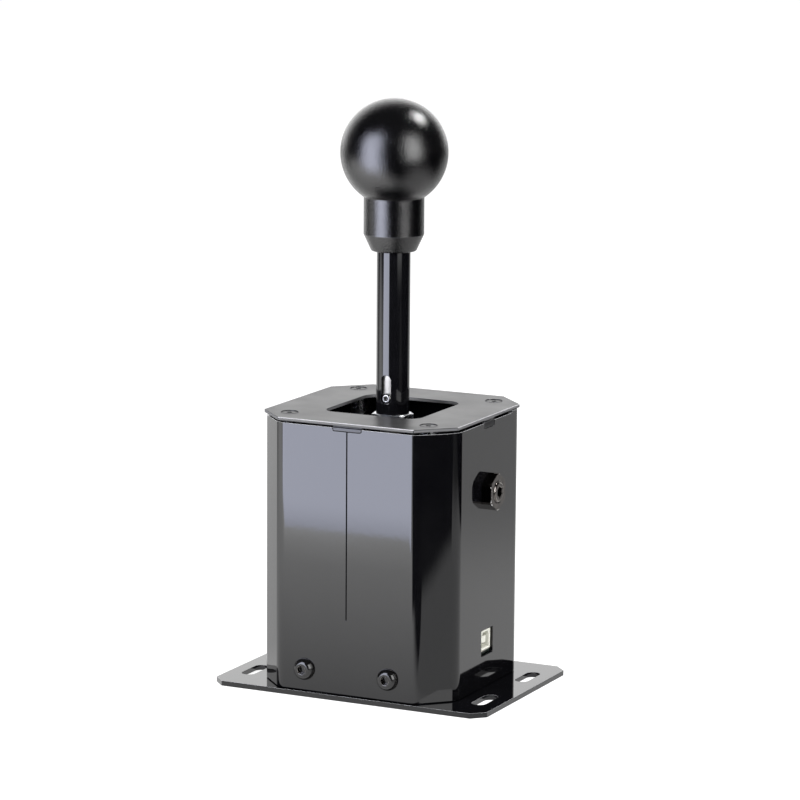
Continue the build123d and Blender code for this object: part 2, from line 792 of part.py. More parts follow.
def gate_pin():
    """Tapered pin with a ball tip, cut flat beneath for the magnet."""
    ball = gate_ball_diameter / 2
    waist, shank = gate_waist_diameter / 2, gate_shank_diameter / 2
    top = gate_arm - block_drop
    shoulder = top - gate_shank_length
    points = [(0, 0), (waist, 0), (waist, shoulder - gate_taper_length), (shank, shoulder)]
    points += [(shank, top + gate_pin_seat), (0, top + gate_pin_seat)]
    stem = revolve(Plane.XZ * make_face(Polyline(*points, close=True)), Axis.Z)
    pin = stem + Sphere(ball)
    flat = ball * gate_ball_flat_share
    pin -= Pos(0, 0, -flat - ball) * rod(2 * gate_ball_diameter, ball)
    return Pos(0, 0, gate_ball_z) * pin


def tail_magnet():
    """Disc magnet under the ball tip."""
    top = gate_ball_z - gate_ball_diameter / 2 * gate_ball_flat_share
    return Pos(0, 0, top - magnet_height) * rod(magnet_diameter, magnet_height)


def gate_plate():
    """Plate with three columns joined by a cross slot."""
    column = gate_arm * sin(radians(select_angle))
    throw = gate_arm * sin(radians(shift_angle))
    width = gate_ball_diameter + 2 * gate_gap
    outline = rounded(gate_length, gate_width, gate_corner)
    outline -= SlotCenterToCenter(2 * column, width)
    run = SlotCenterToCenter(2 * throw, width, rotation=quarter_turn)
    outline -= [Pos(x, 0) * run for x in (-column, 0, column)]
    outline -= [Pos(x, y) * Circle(gate_screw_diameter / 2 + screw_gap) for x, y in frame_places]
    return Pos(0, 0, gate_bottom) * extrude(outline, gate_thickness)


def gate_screws():
    """Low cap screws in the gate plate's corners."""
    screw = rod(gate_screw_head_diameter, gate_screw_head_height)
    screw += Pos(0, 0, -gate_screw_length) * rod(gate_screw_diameter, gate_screw_length)
    screw -= Pos(0, 0, gate_screw_head_height) * socket(gate_screw_socket, gate_screw_socket_depth)
    return group(Pos(x, y, gate_bottom + gate_thickness) * screw for x, y in frame_places)


def standoff(height, foot_bore, foot_depth):
    """Hexagon standoff that stands on Z, bored from below."""
    return extrude(hexagon(standoff_flats), height) - rod(foot_bore, foot_depth)


def lower_standoffs():
    """Standoffs under the board, each with a stud through it."""
    piece = standoff(lower_standoff_height, m4_diameter + 2 * fit_gap, standoff_tap_depth)
    stud = rod(gate_screw_diameter, board_thickness + stud_length)
    piece += Pos(0, 0, lower_standoff_height) * stud
    return group(Pos(x, y, frame_floor) * piece for x, y in frame_places)


def upper_standoffs():
    """Standoffs between the board and the gate plate."""
    piece = standoff(upper_standoff_height, gate_screw_diameter + 2 * fit_gap, upper_standoff_height)
    return group(Pos(x, y, board_top) * piece for x, y in frame_places)


def controller_board():
    """Circuit board with a tongue under the USB socket."""
    outline = rounded(board_length, board_width, board_corner)
    reach = usb_front_x - tongue_end_inset
    outline += Pos(reach / 2, 0) * Rectangle(reach, tongue_width)
    outline -= [Pos(x, y) * Circle(gate_screw_diameter / 2 + screw_gap) for x, y in frame_places]
    return Pos(0, 0, board_bottom) * extrude(outline, board_thickness)


def board_chips():
    """Position sensor under the magnet, processor and regulator."""
    sensor = extrude(Rectangle(sensor_size, sensor_size), sensor_height)
    processor = extrude(Rectangle(processor_size, processor_size), processor_height)
    regulator = extrude(Rectangle(regulator_length, regulator_width), regulator_height)
    places = [
        (sensor, 0, 0),
        (processor, -processor_place_x, processor_place_y),
        (regulator, processor_place_x, -processor_place_y),
    ]
    return group(Pos(x, y, board_top) * chip for chip, x, y in places)


def usb_mouth():
    """The socket's mouth: a rectangle whose two upper corners are cut off."""
    outline = Rectangle(usb_mouth_width, usb_mouth_height)
    return chamfer(outline.vertices().group_by(Axis.Y)[-1], usb_mouth_corner)


def usb_socket_shell():
    """The shell in its place, its mouth towards the housing's cut-out."""
    shell = extrude(Plane.YZ * Rectangle(usb_width, usb_height), -usb_depth)
    inside = usb_width - 2 * usb_shell_wall, usb_height - 2 * usb_shell_wall
    shell -= extrude(Plane.YZ * Rectangle(*inside), -usb_depth)
    return Pos(usb_front_x, 0, usb_middle_z) * shell


def usb_socket_core():
    """Moulded insert with the socket's mouth and tongue."""
    side = 2 * (usb_shell_wall + fit_gap)
    core = extrude(Plane.YZ * Rectangle(usb_width - side, usb_height - side), -usb_depth)
    core -= extrude(Plane.YZ * usb_mouth(), -usb_mouth_depth)
    tongue = extrude(Plane.YZ * Rectangle(usb_tongue_width, usb_tongue_height), -usb_mouth_depth)
    core += Pos(-usb_tongue_back, 0, 0) * tongue
    return Pos(usb_front_x, 0, usb_middle_z) * core


def detent_sector():
    """Fan on the right shaft: a groove for the ball, with a dimple for each lever position."""
    reach = detent_radius + groove_radius + sector_rim
    edge = 2 * reach
    half = radians(sector_half_angle)
    wedge = [(0, 0), (edge * sin(half), edge * cos(half)), (-edge * sin(half), edge * cos(half))]
    fan = Circle(reach) & make_face(Polyline(*wedge, close=True))
    fan += Circle(sector_hub_diameter / 2)
    sector = extrude(Plane.YZ * fan, sector_thickness)
    boss = along_x(rod(sector_boss_diameter, sector_boss))
    sector = Pos(sector_back_x, 0, pivot_z) * sector + Pos(boss_start_x, 0, pivot_z) * boss
    bore = Pos(boss_start_x, 0, pivot_z) * shaft_end(sector_boss + sector_thickness, fit_gap)
    sector -= bore
    groove = Torus(detent_radius, groove_radius)
    sector -= Pos(ball_x, 0, pivot_z) * along_x(groove)
    for angle in (-shift_angle, 0, shift_angle):
        y = detent_radius * sin(radians(angle))
        z = pivot_z + detent_radius * cos(radians(angle))
        sector -= Pos(ball_x - dimple_extra, y, z) * Sphere(groove_radius)
    return sector


def sector_screw():
    """Button-head screw that keeps the sector on its shaft."""
    head = sector_screw_head_diameter
    screw = button_screw(
        m4_diameter,
        sector_screw_length,
        head,
        sector_screw_head_height,
        m4_diameter,
        sector_screw_socket,
        sector_screw_socket_depth,
    )
    return Pos(sector_face_x, 0, pivot_z) * along_x(screw)


def detent_ball():
    """Steel ball, level with the groove."""
    return Pos(ball_x, 0, adjuster_z) * Sphere(detent_ball_diameter / 2)


def detent_spring():
    """Coil behind the ball."""
    start = ball_x + detent_ball_diameter / 2 + fit_gap
    end = adjuster_floor_x - fit_gap
    coil = coil_spring(detent_spring_mean_diameter, detent_spring_wire, end - start, detent_spring_turns)
    return Pos(start, 0, adjuster_z) * along_x(coil)


def adjuster_screw():
    """Hollow screw that holds the detent ball and its spring."""
    length = adjuster_end_x - adjuster_mouth_x
    screw = rod(adjuster_diameter, length)
    screw -= rod(detent_ball_diameter + 2 * slide_gap, adjuster_floor_x - adjuster_mouth_x)
    screw -= Pos(0, 0, length) * socket(adjuster_socket, adjuster_socket_depth)
    return Pos(adjuster_mouth_x, 0, adjuster_z) * along_x(screw)


def adjuster_nut():
    """Lock nut against the housing's right face."""
    nut = hex_nut(adjuster_nut_flats, adjuster_nut_height, adjuster_diameter + 2 * running_gap)
    return Pos(housing_side, 0, adjuster_z) * along_x(nut)


def adjuster_bush():
    """Threaded bush behind that face."""
    bush = rod(adjuster_bush_diameter, adjuster_bush_height)
    bush -= rod(adjuster_diameter + 2 * running_gap, adjuster_bush_height)
    return Pos(wall_inside_x - adjuster_bush_height, 0, adjuster_z) * along_x(bush)


def build_parts():
    """Every node by name."""
    return {
        "base_plate": base_plate(),
        "housing_shell": housing_shell(),
        "top_plate": top_plate(),
        "top_plate_screws": top_plate_screws(),
        "corner_posts": corner_posts(),
        "post_screws": group(upward_screws(post_places, post_screw_length)),
        "front_foot_bracket": foot_bracket(-1),
        "rear_foot_bracket": foot_bracket(1),
        "bracket_screws": group(upward_screws(bracket_places, bracket_screw_length)),
        "housing_weld_nuts": housing_weld_nuts(),
        "housing_screws": housing_screws(),
        "pivot_frame": pivot_frame(),
        "frame_screws": group(upward_screws(frame_places, frame_screw_length)),
        "pivot_bush_left": pivot_bush(-1),
        "pivot_bush_right": pivot_bush(1),
        "pivot_shaft_left": pivot_shaft(-1),
        "pivot_shaft_right": pivot_shaft(1),
        "yoke_frame": yoke_frame(),
        "select_pin": select_pin(),
        "select_pin_clips": select_pin_clips(),
        "select_bush_front": select_bush(-1),
        "select_bush_rear": select_bush(1),
        "lever_block": lever_block(),
        "centring_spring_left": centring_spring(-1),
        "centring_spring_right": centring_spring(1),
        "lever_rod": lever_rod(),
        "height_screw": height_screw(),
        "lever_tube": lever_tube(),
        "height_nut": height_nut(),
        "shift_knob": shift_knob(),
        "gate_pin": gate_pin(),
        "tail_magnet": tail_magnet(),
        "gate_plate": gate_plate(),
        "gate_screws": gate_screws(),
        "lower_standoffs": lower_standoffs(),
        "upper_standoffs": upper_standoffs(),
        "controller_board": controller_board(),
        "board_chips": board_chips(),
        "usb_socket_shell": usb_socket_shell(),
        "usb_socket_core": usb_socket_core(),
        "detent_sector": detent_sector(),
        "sector_screw": sector_screw(),
        "detent_ball": detent_ball(),
        "detent_spring": detent_spring(),
        "adjuster_screw": adjuster_screw(),
        "adjuster_nut": adjuster_nut(),
        "adjuster_bush": adjuster_bush(),
    }


os.makedirs("parts", exist_ok=True)
for name, shape in build_parts().items():
    export_step(shape, f"parts/{name}.step")
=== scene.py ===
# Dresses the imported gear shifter: finishes, fine edges, screws, springs and a plain studio.
# Sizes are in millimetres unless said otherwise, and MM turns them to metres.
# +Z is up, +X is the adjuster's side and +Y is away from the driver.

import json
import logging
import math
from collections.abc import Callable, Sequence
from dataclasses import dataclass
from enum import Enum

import bmesh
import bpy
from mathutils import Matrix, Vector


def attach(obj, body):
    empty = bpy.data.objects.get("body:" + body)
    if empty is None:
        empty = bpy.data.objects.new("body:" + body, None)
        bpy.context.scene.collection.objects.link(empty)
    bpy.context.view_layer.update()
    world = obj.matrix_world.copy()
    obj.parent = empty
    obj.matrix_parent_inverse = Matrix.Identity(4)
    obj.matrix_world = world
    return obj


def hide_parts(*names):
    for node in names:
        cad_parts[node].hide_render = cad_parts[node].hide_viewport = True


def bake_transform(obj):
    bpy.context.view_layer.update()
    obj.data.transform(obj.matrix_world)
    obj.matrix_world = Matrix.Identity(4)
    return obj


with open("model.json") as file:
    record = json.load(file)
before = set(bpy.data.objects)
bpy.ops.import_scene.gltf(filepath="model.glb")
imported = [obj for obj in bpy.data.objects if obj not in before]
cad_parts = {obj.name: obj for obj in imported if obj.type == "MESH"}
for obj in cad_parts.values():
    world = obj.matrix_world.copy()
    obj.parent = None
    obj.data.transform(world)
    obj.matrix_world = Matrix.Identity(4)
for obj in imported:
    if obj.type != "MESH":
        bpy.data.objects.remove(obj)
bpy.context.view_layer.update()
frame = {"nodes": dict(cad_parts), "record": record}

log = logging.getLogger("gear_shifter")
MM = 0.001

# A profile point this near the axis lies on it. Vertices of a CAD node this near, in metres, are one,
# and its faces that bend by less than this many degrees are one flat.
ON_AXIS = 1e-6
SAME_SPOT = 2e-6
SAME_FLAT = 0.4

# Facets round a screw or a bore, and round larger turned pieces.
SMALL_SIDES = 64
SIDES = 96

# How far a cutting tool reaches past what it cuts.
OVERRUN = 1.0

# A rounding's faces are narrower than this share of its width.
ROUNDING_SHARE = 0.9

# How much the large faces rule a piece's shading, out of 100.
FLAT_WEIGHT = 80

# Half a hexagon's width across flats over the distance of its corners.
HEX_COSINE = math.cos(math.pi / 6)

# Directions in a profile's plane, in degrees from the radius axis.
DOWN, OUT, UP, IN, FULL_TURN = -90.0, 0.0, 90.0, 180.0, 360.0

# Sockets of the Mix node by place, because their names repeat.
SHARE, NUMBER_A, NUMBER_B, COLOUR_A, COLOUR_B, COLOUR_OUT = 0, 2, 3, 6, 7, 2

ORIGIN = Vector((0.0, 0.0, 0.0))
UNTURNED = Matrix.Identity(4)
ALONG_X = Matrix.Rotation(math.pi / 2, 4, "Y")
TO_DRIVER = Matrix.Rotation(math.pi / 2, 4, "X")
UPSIDE_DOWN = Matrix.Rotation(math.pi, 4, "X")


class Mark(Enum):
    """Attributes that mark a piece's narrow faces for a finish or for a painted highlight."""

    # EDGE carries edge wear, and on the black oxides a painted highlight.
    EDGE = "edge"  # rounded edges, where a coat or plating wears
    CUT = "cut"  # a sheet's cut faces
    # Outer upper edges, where a highlight is painted.
    RIM = "rim"  # outer edges that catch the light


class Shaping(Enum):
    """What a tool shape does to a piece."""

    CUT = "DIFFERENCE"
    TRIM = "INTERSECT"


# Small tools


def colour(code: str) -> tuple[float, float, float, float]:
    """Turns an sRGB hex colour to Blender's linear one.

    Args:
        code: The colour as "#rrggbb".

    Returns:
        Linear red, green and blue, and full alpha.
    """
    parts = [int(code[at : at + 2], 16) / 255 for at in (1, 3, 5)]
    return (*(p / 12.92 if p <= 0.04045 else ((p + 0.055) / 1.055) ** 2.4 for p in parts), 1.0)


def mm(*values: float) -> Vector:
    """A point given in millimetres, in metres."""
    return Vector(values) * MM


def add(
    tree: bpy.types.NodeTree, kind: str, inputs: dict | None = None, **settings: object
) -> bpy.types.Node:
    """Adds a node with its settings and links.

    Args:
        tree: The tree that the node joins.
        kind: The node's type name.
        inputs: Socket name or index to a value, or to an output that is linked in.
        **settings: Attributes of the node.

    Returns:
        The new node.
    """
    node = tree.nodes.new(kind)
    for key, value in settings.items():
        setattr(node, key, value)
    for key, value in (inputs or {}).items():
        if isinstance(value, bpy.types.NodeSocket):
            tree.links.new(value, node.inputs[key])
        else:
            node.inputs[key].default_value = value
    return node


def linked(name: str, data: bpy.types.ID) -> bpy.types.Object:
    """Makes an object of some data and links it into the scene.

    Args:
        name: The object's name.
        data: Its mesh, lamp or camera.

    Returns:
        The object.
    """
    item = bpy.data.objects.new(name, data)
    bpy.context.scene.collection.objects.link(item)
    return item


def new_piece(name: str, mesh: bmesh.types.BMesh) -> bpy.types.Object:
    """Makes a piece at the origin.

    Args:
        name: The piece's name.
        mesh: Its shape, which is freed.

    Returns:
        The piece, shaded smooth.
    """
    data = bpy.data.meshes.new(name)
    mesh.to_mesh(data)
    mesh.free()
    data.shade_smooth()
    return linked(name, data)


def emptied(owner: bpy.types.Material | bpy.types.World) -> bpy.types.NodeTree:
    """Gives a material or a world an empty shader tree.

    Args:
        owner: The material or world.

    Returns:
        Its tree.
    """
    owner.use_nodes = True
    owner.node_tree.nodes.clear()
    return owner.node_tree


def baked(piece: bpy.types.Object) -> bpy.types.Object:
    """Turns a piece's modifiers into its plain mesh.

    Args:
        piece: The piece.

    Returns:
        The same piece, with no modifier left.
    """
    graph = bpy.context.evaluated_depsgraph_get()
    graph.update()
    mesh = bpy.data.meshes.new_from_object(
        piece.evaluated_get(graph), preserve_all_data_layers=True, depsgraph=graph
    )
    piece.modifiers.clear()
    piece.data = mesh
    return piece


def boolean(
    piece: bpy.types.Object, tool: bpy.types.Object, shaping: Shaping = Shaping.CUT
) -> bpy.types.Object:
    """Cuts or trims a piece with a tool shape.

    Args:
        piece: The piece.
        tool: The tool shape, which is removed.
        shaping: What the tool does.

    Returns:
        The same piece, with a plain mesh.
    """
    step = piece.modifiers.new("shape", "BOOLEAN")
    step.operation = shaping.value
    step.object = tool
    step.solver = "EXACT"
    baked(piece)
    bpy.data.objects.remove(tool)
    return piece


def mark_edges(
    piece: bpy.types.Object, width: float, mark: Mark = Mark.EDGE, least: float = 0.0,
    where: Callable[[Vector, Vector], bool] | None = None,
) -> None:
    """Marks a piece's narrow faces with 1 in an attribute.

    Args:
        piece: The piece.
        width: Faces narrower than this are marked.
        mark: The attribute.
        least: Faces narrower than this aren't marked.
        where: Tells by a face's middle, in millimetres, and its normal whether it may be marked.
    """
    values = []
    for face in piece.data.polygons:
        spots = [piece.data.vertices[k].co for k in face.vertices]
        longest = max((a - b).length for a, b in zip(spots, spots[1:] + spots[:1]))
        fits = least * MM <= face.area / longest < width * MM
        fits = fits and (where is None or where(face.center / MM, face.normal))
        values.append(float(fits))
    attribute = piece.data.attributes.new(mark.value, "FLOAT", "FACE")
    attribute.data.foreach_set("value", values)


def even_normals(piece: bpy.types.Object) -> bpy.types.Object:
    """Shades a piece's large faces flat and its roundings smooth.

    Args:
        piece: The piece.

    Returns:
        The same piece, with a plain mesh.
    """
    flat = piece.modifiers.new("flat", "WEIGHTED_NORMAL")
    flat.keep_sharp = False
    flat.weight = FLAT_WEIGHT
    return baked(piece)


def soften(
    piece: bpy.types.Object, width: float, bands: int = 2, angle: float = 30.0, clamp: bool = True
) -> bpy.types.Object:
    """Rounds a piece's sharp edges, marks them and shades its flats flat.

    Args:
        piece: The piece, with a closed mesh.
        width: The rounding's width.
        bands: Bands across the rounding.
        angle: Edges that bend more than this are rounded, in degrees.
        clamp: Whether the width gives way everywhere to the shortest edge.

    Returns:
        The same piece, with a plain mesh.
    """
    step = piece.modifiers.new("round", "BEVEL")
    step.width = width * MM
    step.segments = bands
    step.limit_method = "ANGLE"
    step.angle_limit = math.radians(angle)
    step.miter_outer = "MITER_ARC"
    step.use_clamp_overlap = clamp
    baked(piece)
    mark_edges(piece, width * ROUNDING_SHARE)
    return even_normals(piece)


def lathe(name: str, profile: Sequence[tuple[float, float]], sides: int = SIDES) -> bpy.types.Object:
    """Turns a closed profile about Z.

    Args:
        name: The piece's name.
        profile: Radius and height, from one end of the axis to the other,
            or a closed ring when no point lies on the axis. The inside lies on the left.
        sides: Facets round the axis.

    Returns:
        The turned piece.
    """
    work = bmesh.new()
    rings = []
    for radius, height in profile:
        if radius < ON_AXIS:
            rings.append([work.verts.new(mm(0, 0, height))])
            continue
        turn = [2 * math.pi * k / sides for k in range(sides)]
        rings.append([work.verts.new(mm(radius * math.cos(a), radius * math.sin(a), height)) for a in turn])
    pairs = list(zip(rings, rings[1:]))
    if profile[0][0] > ON_AXIS:
        pairs.append((rings[-1], rings[0]))
    for low, high in pairs:
        for k in range(sides):
            near, far = k, (k + 1) % sides
            if len(low) == 1:
                work.faces.new((low[0], high[far], high[near]))
            elif len(high) == 1:
                work.faces.new((low[near], low[far], high[0]))
            else:
                work.faces.new((low[near], low[far], high[far], high[near]))
    bmesh.ops.recalc_face_normals(work, faces=work.faces)
    return new_piece(name, work)


def arc(
    centre: tuple[float, float], radius: float, start: float, end: float, steps: int
) -> list[tuple[float, float]]:
    """Sets points on an arc in a profile's plane.

    Args:
        centre: Its middle.
        radius: Its radius.
        start: Direction of its first point, in degrees from the radius axis.
        end: Direction of its last point.
        steps: Number of chords.

    Returns:
        The points, one more than the chords.
    """
    turns = [math.radians(start + (end - start) * k / steps) for k in range(steps + 1)]
    return [(centre[0] + radius * math.cos(a), centre[1] + radius * math.sin(a)) for a in turns]


def prism(name: str, outline: Sequence[tuple[float, float]], low: float, high: float) -> bpy.types.Object:
    """Stands a flat outline up along Z.

    Args:
        name: The piece's name.
        outline: Its corners along X and Y.
        low: Height of its foot.
        high: Height of its top.

    Returns:
        The piece, which is closed.
    """
    work = bmesh.new()
    base = work.faces.new([work.verts.new(mm(x, y, low)) for x, y in outline])
    grown = bmesh.ops.extrude_face_region(work, geom=[base])["geom"]
    top = [v for v in grown if isinstance(v, bmesh.types.BMVert)]
    bmesh.ops.translate(work, verts=top, vec=mm(0, 0, high - low))
    bmesh.ops.recalc_face_normals(work, faces=work.faces)
    return new_piece(name, work)


def hexagon(flats: float, turn: float = 0.0) -> list[tuple[float, float]]:
    """Sets a hexagon's corners.

    Args:
        flats: Its width across flats.
        turn: Direction of its first corner, in degrees.

    Returns:
        The six corners.
    """
    reach = flats / 2 / HEX_COSINE
    turns = [math.radians(turn + 60 * k) for k in range(6)]
    return [(reach * math.cos(a), reach * math.sin(a)) for a in turns]


def moved(piece: bpy.types.Object, place: Vector, turn: Matrix = UNTURNED) -> bpy.types.Object:
    """Turns a piece's mesh about the origin and then shifts it, by a vector in metres."""
    piece.data.transform(Matrix.Translation(place) @ turn)
    return piece


def cad_copy(name: str, node: str) -> bpy.types.Object:
    """Copies a CAD node's mesh, welded and with its flats made whole, ready for finer edges.

    Args:
        name: The new piece's name.
        node: The CAD node.

    Returns:
        The new piece.
    """
    work = bmesh.new()
    work.from_mesh(frame["nodes"][node].data)
    bmesh.ops.remove_doubles(work, verts=work.verts, dist=SAME_SPOT)
    flat = math.radians(SAME_FLAT)
    bmesh.ops.dissolve_limit(work, angle_limit=flat, verts=work.verts, edges=work.edges)
    return new_piece(name, work)


# Finishes

# The noise's values that slow patches run between.
PATCH_SPAN = {"From Min": 0.3, "From Max": 0.7}

# Detail of the noise in patches, waves and grain.
PATCH_DETAIL, WAVE_DETAIL, GRAIN_DETAIL = 4.0, 1.0, 2.0

# How dull a cut face is.
CUT_FACE = {"Roughness": 0.9, "Specular IOR Level": 0.12}


@dataclass(frozen=True)
class Finish:
    """What a surface is made of and how it was finished.

    Attributes:
        name: The material's name.
        tint: Main colour, sRGB hex.
        patch_tint: Colour that slow patches drift to.
        roughness: Lowest and highest roughness, between patches.
        metallic: 1 for bare metal, 0 for paint, oxide film or plastic.
        patch: Size of the slow patches, in millimetres.
        grain: Size of the fine grain, in millimetres.
        grain_height: Height of the grain, in millimetres.
        lay: How far the grain is drawn out along X, Y and Z.
        edge_tint: Colour of rounded edges: wear, and on the black oxides a painted highlight; "" for none.
        wave: Size of the slow unevenness of the surface, in millimetres.
        wave_height: Its height, in millimetres.
        cut_tint: Colour of a sheet's cut faces, which are dull; "" where they are like the rest.
        painted_rim_tint: Colour of a painted highlight on a piece's outer upper edges; "" for none.
        shine: How strongly a surface that isn't bare metal mirrors; 0.5 is plain.
    """

    name: str
    tint: str
    patch_tint: str
    roughness: tuple[float, float]
    metallic: float = 0.0
    patch: float = 18.0
    grain: float = 0.6
    grain_height: float = 0.002
    lay: tuple[float, float, float] = (1.0, 1.0, 1.0)
    edge_tint: str = ""
    wave: float = 3.0
    wave_height: float = 0.0
    cut_tint: str = ""
    painted_rim_tint: str = ""
    shine: float = 0.5

    def build(self) -> bpy.types.Material:
        """Makes the material.

        Returns:
            The material, with its shader ready.
        """
        material = bpy.data.materials.new(self.name)
        tree = emptied(material)
        place = add(tree, "ShaderNodeTexCoord").outputs["Object"]
        noise = {"Vector": place, "Scale": 1 / (self.patch * MM), "Detail": PATCH_DETAIL}
        patches = add(tree, "ShaderNodeTexNoise", noise).outputs["Fac"]
        spread = add(tree, "ShaderNodeMapRange", {"Value": patches, **PATCH_SPAN}).outputs[0]
        low, high = self.roughness
        span = {"Value": patches, **PATCH_SPAN, "To Min": low, "To Max": high}
        rough = add(tree, "ShaderNodeMapRange", span).outputs[0]
        layers = [(spread, self.patch_tint)]
        if self.edge_tint:
            # Rounded edges: wear, and on the black oxides a painted highlight.
            wear_and_sheen = add(tree, "ShaderNodeAttribute", attribute_name=Mark.EDGE.value).outputs["Fac"]
            broken = add(tree, "ShaderNodeMath", {0: wear_and_sheen, 1: spread}, operation="MULTIPLY").outputs[0]
            layers.append((broken, self.edge_tint))
        # A painted highlight on the outer upper edges.
        if self.painted_rim_tint:
            rim = add(tree, "ShaderNodeAttribute", attribute_name=Mark.RIM.value).outputs["Fac"]
            layers.append((rim, self.painted_rim_tint))
        paint: tuple[float, float, float, float] | bpy.types.NodeSocket = colour(self.tint)
        for share, tint in layers:
            mix = {SHARE: share, COLOUR_A: paint, COLOUR_B: colour(tint)}
            paint = add(tree, "ShaderNodeMix", mix, data_type="RGBA").outputs[COLOUR_OUT]
        coat = {
            "Base Color": paint, "Roughness": rough, "Metallic": self.metallic,
            "Specular IOR Level": self.shine, "Normal": self.relief(tree, place),
        }
        shader = add(tree, "ShaderNodeBsdfPrincipled", coat)
        self.dress(tree, place, shader)
        surface = shader.outputs[0]
        if self.cut_tint:
            dull = {"Base Color": colour(self.cut_tint), **CUT_FACE}
            face = add(tree, "ShaderNodeBsdfPrincipled", dull).outputs[0]
            cut = add(tree, "ShaderNodeAttribute", attribute_name=Mark.CUT.value).outputs["Fac"]
            surface = add(tree, "ShaderNodeMixShader", {0: cut, 1: surface, 2: face}).outputs[0]
        add(tree, "ShaderNodeOutputMaterial", {"Surface": surface})
        return material

    def relief(self, tree: bpy.types.NodeTree, place: bpy.types.NodeSocket) -> bpy.types.NodeSocket:
        """Adds the surface's fine height: grain, over slow waves where it has any.

        Args:
            tree: The material's tree.
            place: The point on the piece.

        Returns:
            The normal.
        """
        lay = {"Vector": place, "Scale": [1 / s for s in self.lay]}
        drawn = add(tree, "ShaderNodeMapping", lay).outputs[0]
        layers = [(drawn, self.grain, self.grain_height, GRAIN_DETAIL)]
        if self.wave_height:
            layers.insert(0, (place, self.wave, self.wave_height, WAVE_DETAIL))
        normal = {}
        for spot, size, height, detail in layers:
            noise = {"Vector": spot, "Scale": 1 / (size * MM), "Detail": detail}
            bump = {"Height": add(tree, "ShaderNodeTexNoise", noise).outputs["Fac"], "Distance": height * MM}
            normal = {"Normal": add(tree, "ShaderNodeBump", {**bump, "Strength": 1.0, **normal}).outputs[0]}
        return normal["Normal"]

    def dress(self, tree: bpy.types.NodeTree, place: bpy.types.NodeSocket, shader: bpy.types.Node) -> None:
        """Adds what only this finish has; a plain one adds nothing."""


@dataclass(frozen=True)
class TracedBoard(Finish):
    """Solder mask over copper: traces show as paler lines in the mask.

    Attributes:
        trace_pitch: Size of the cells between traces, in millimetres.
        trace_width: Half a trace's width, as a share of the pitch.
        trace_tint: Colour of the mask over a trace, sRGB hex.
    """

    trace_pitch: float = 2.4
    trace_width: float = 0.07
    trace_tint: str = "#26302b"

    def dress(self, tree: bpy.types.NodeTree, place: bpy.types.NodeSocket, shader: bpy.types.Node) -> None:
        """Lays paler lines over the mask's colour.

        Args:
            tree: The material's tree.
            place: The point on the piece.
            shader: The mask's shader.
        """
        cells = {"Vector": place, "Scale": 1 / (self.trace_pitch * MM)}
        away = add(tree, "ShaderNodeTexVoronoi", cells, feature="DISTANCE_TO_EDGE").outputs["Distance"]
        line = add(tree, "ShaderNodeMath", {0: away, 1: self.trace_width}, operation="LESS_THAN").outputs[0]
        base = shader.inputs["Base Color"]
        mix = {SHARE: line, COLOUR_A: base.links[0].from_socket, COLOUR_B: colour(self.trace_tint)}
        tree.links.new(add(tree, "ShaderNodeMix", mix, data_type="RGBA").outputs[COLOUR_OUT], base)


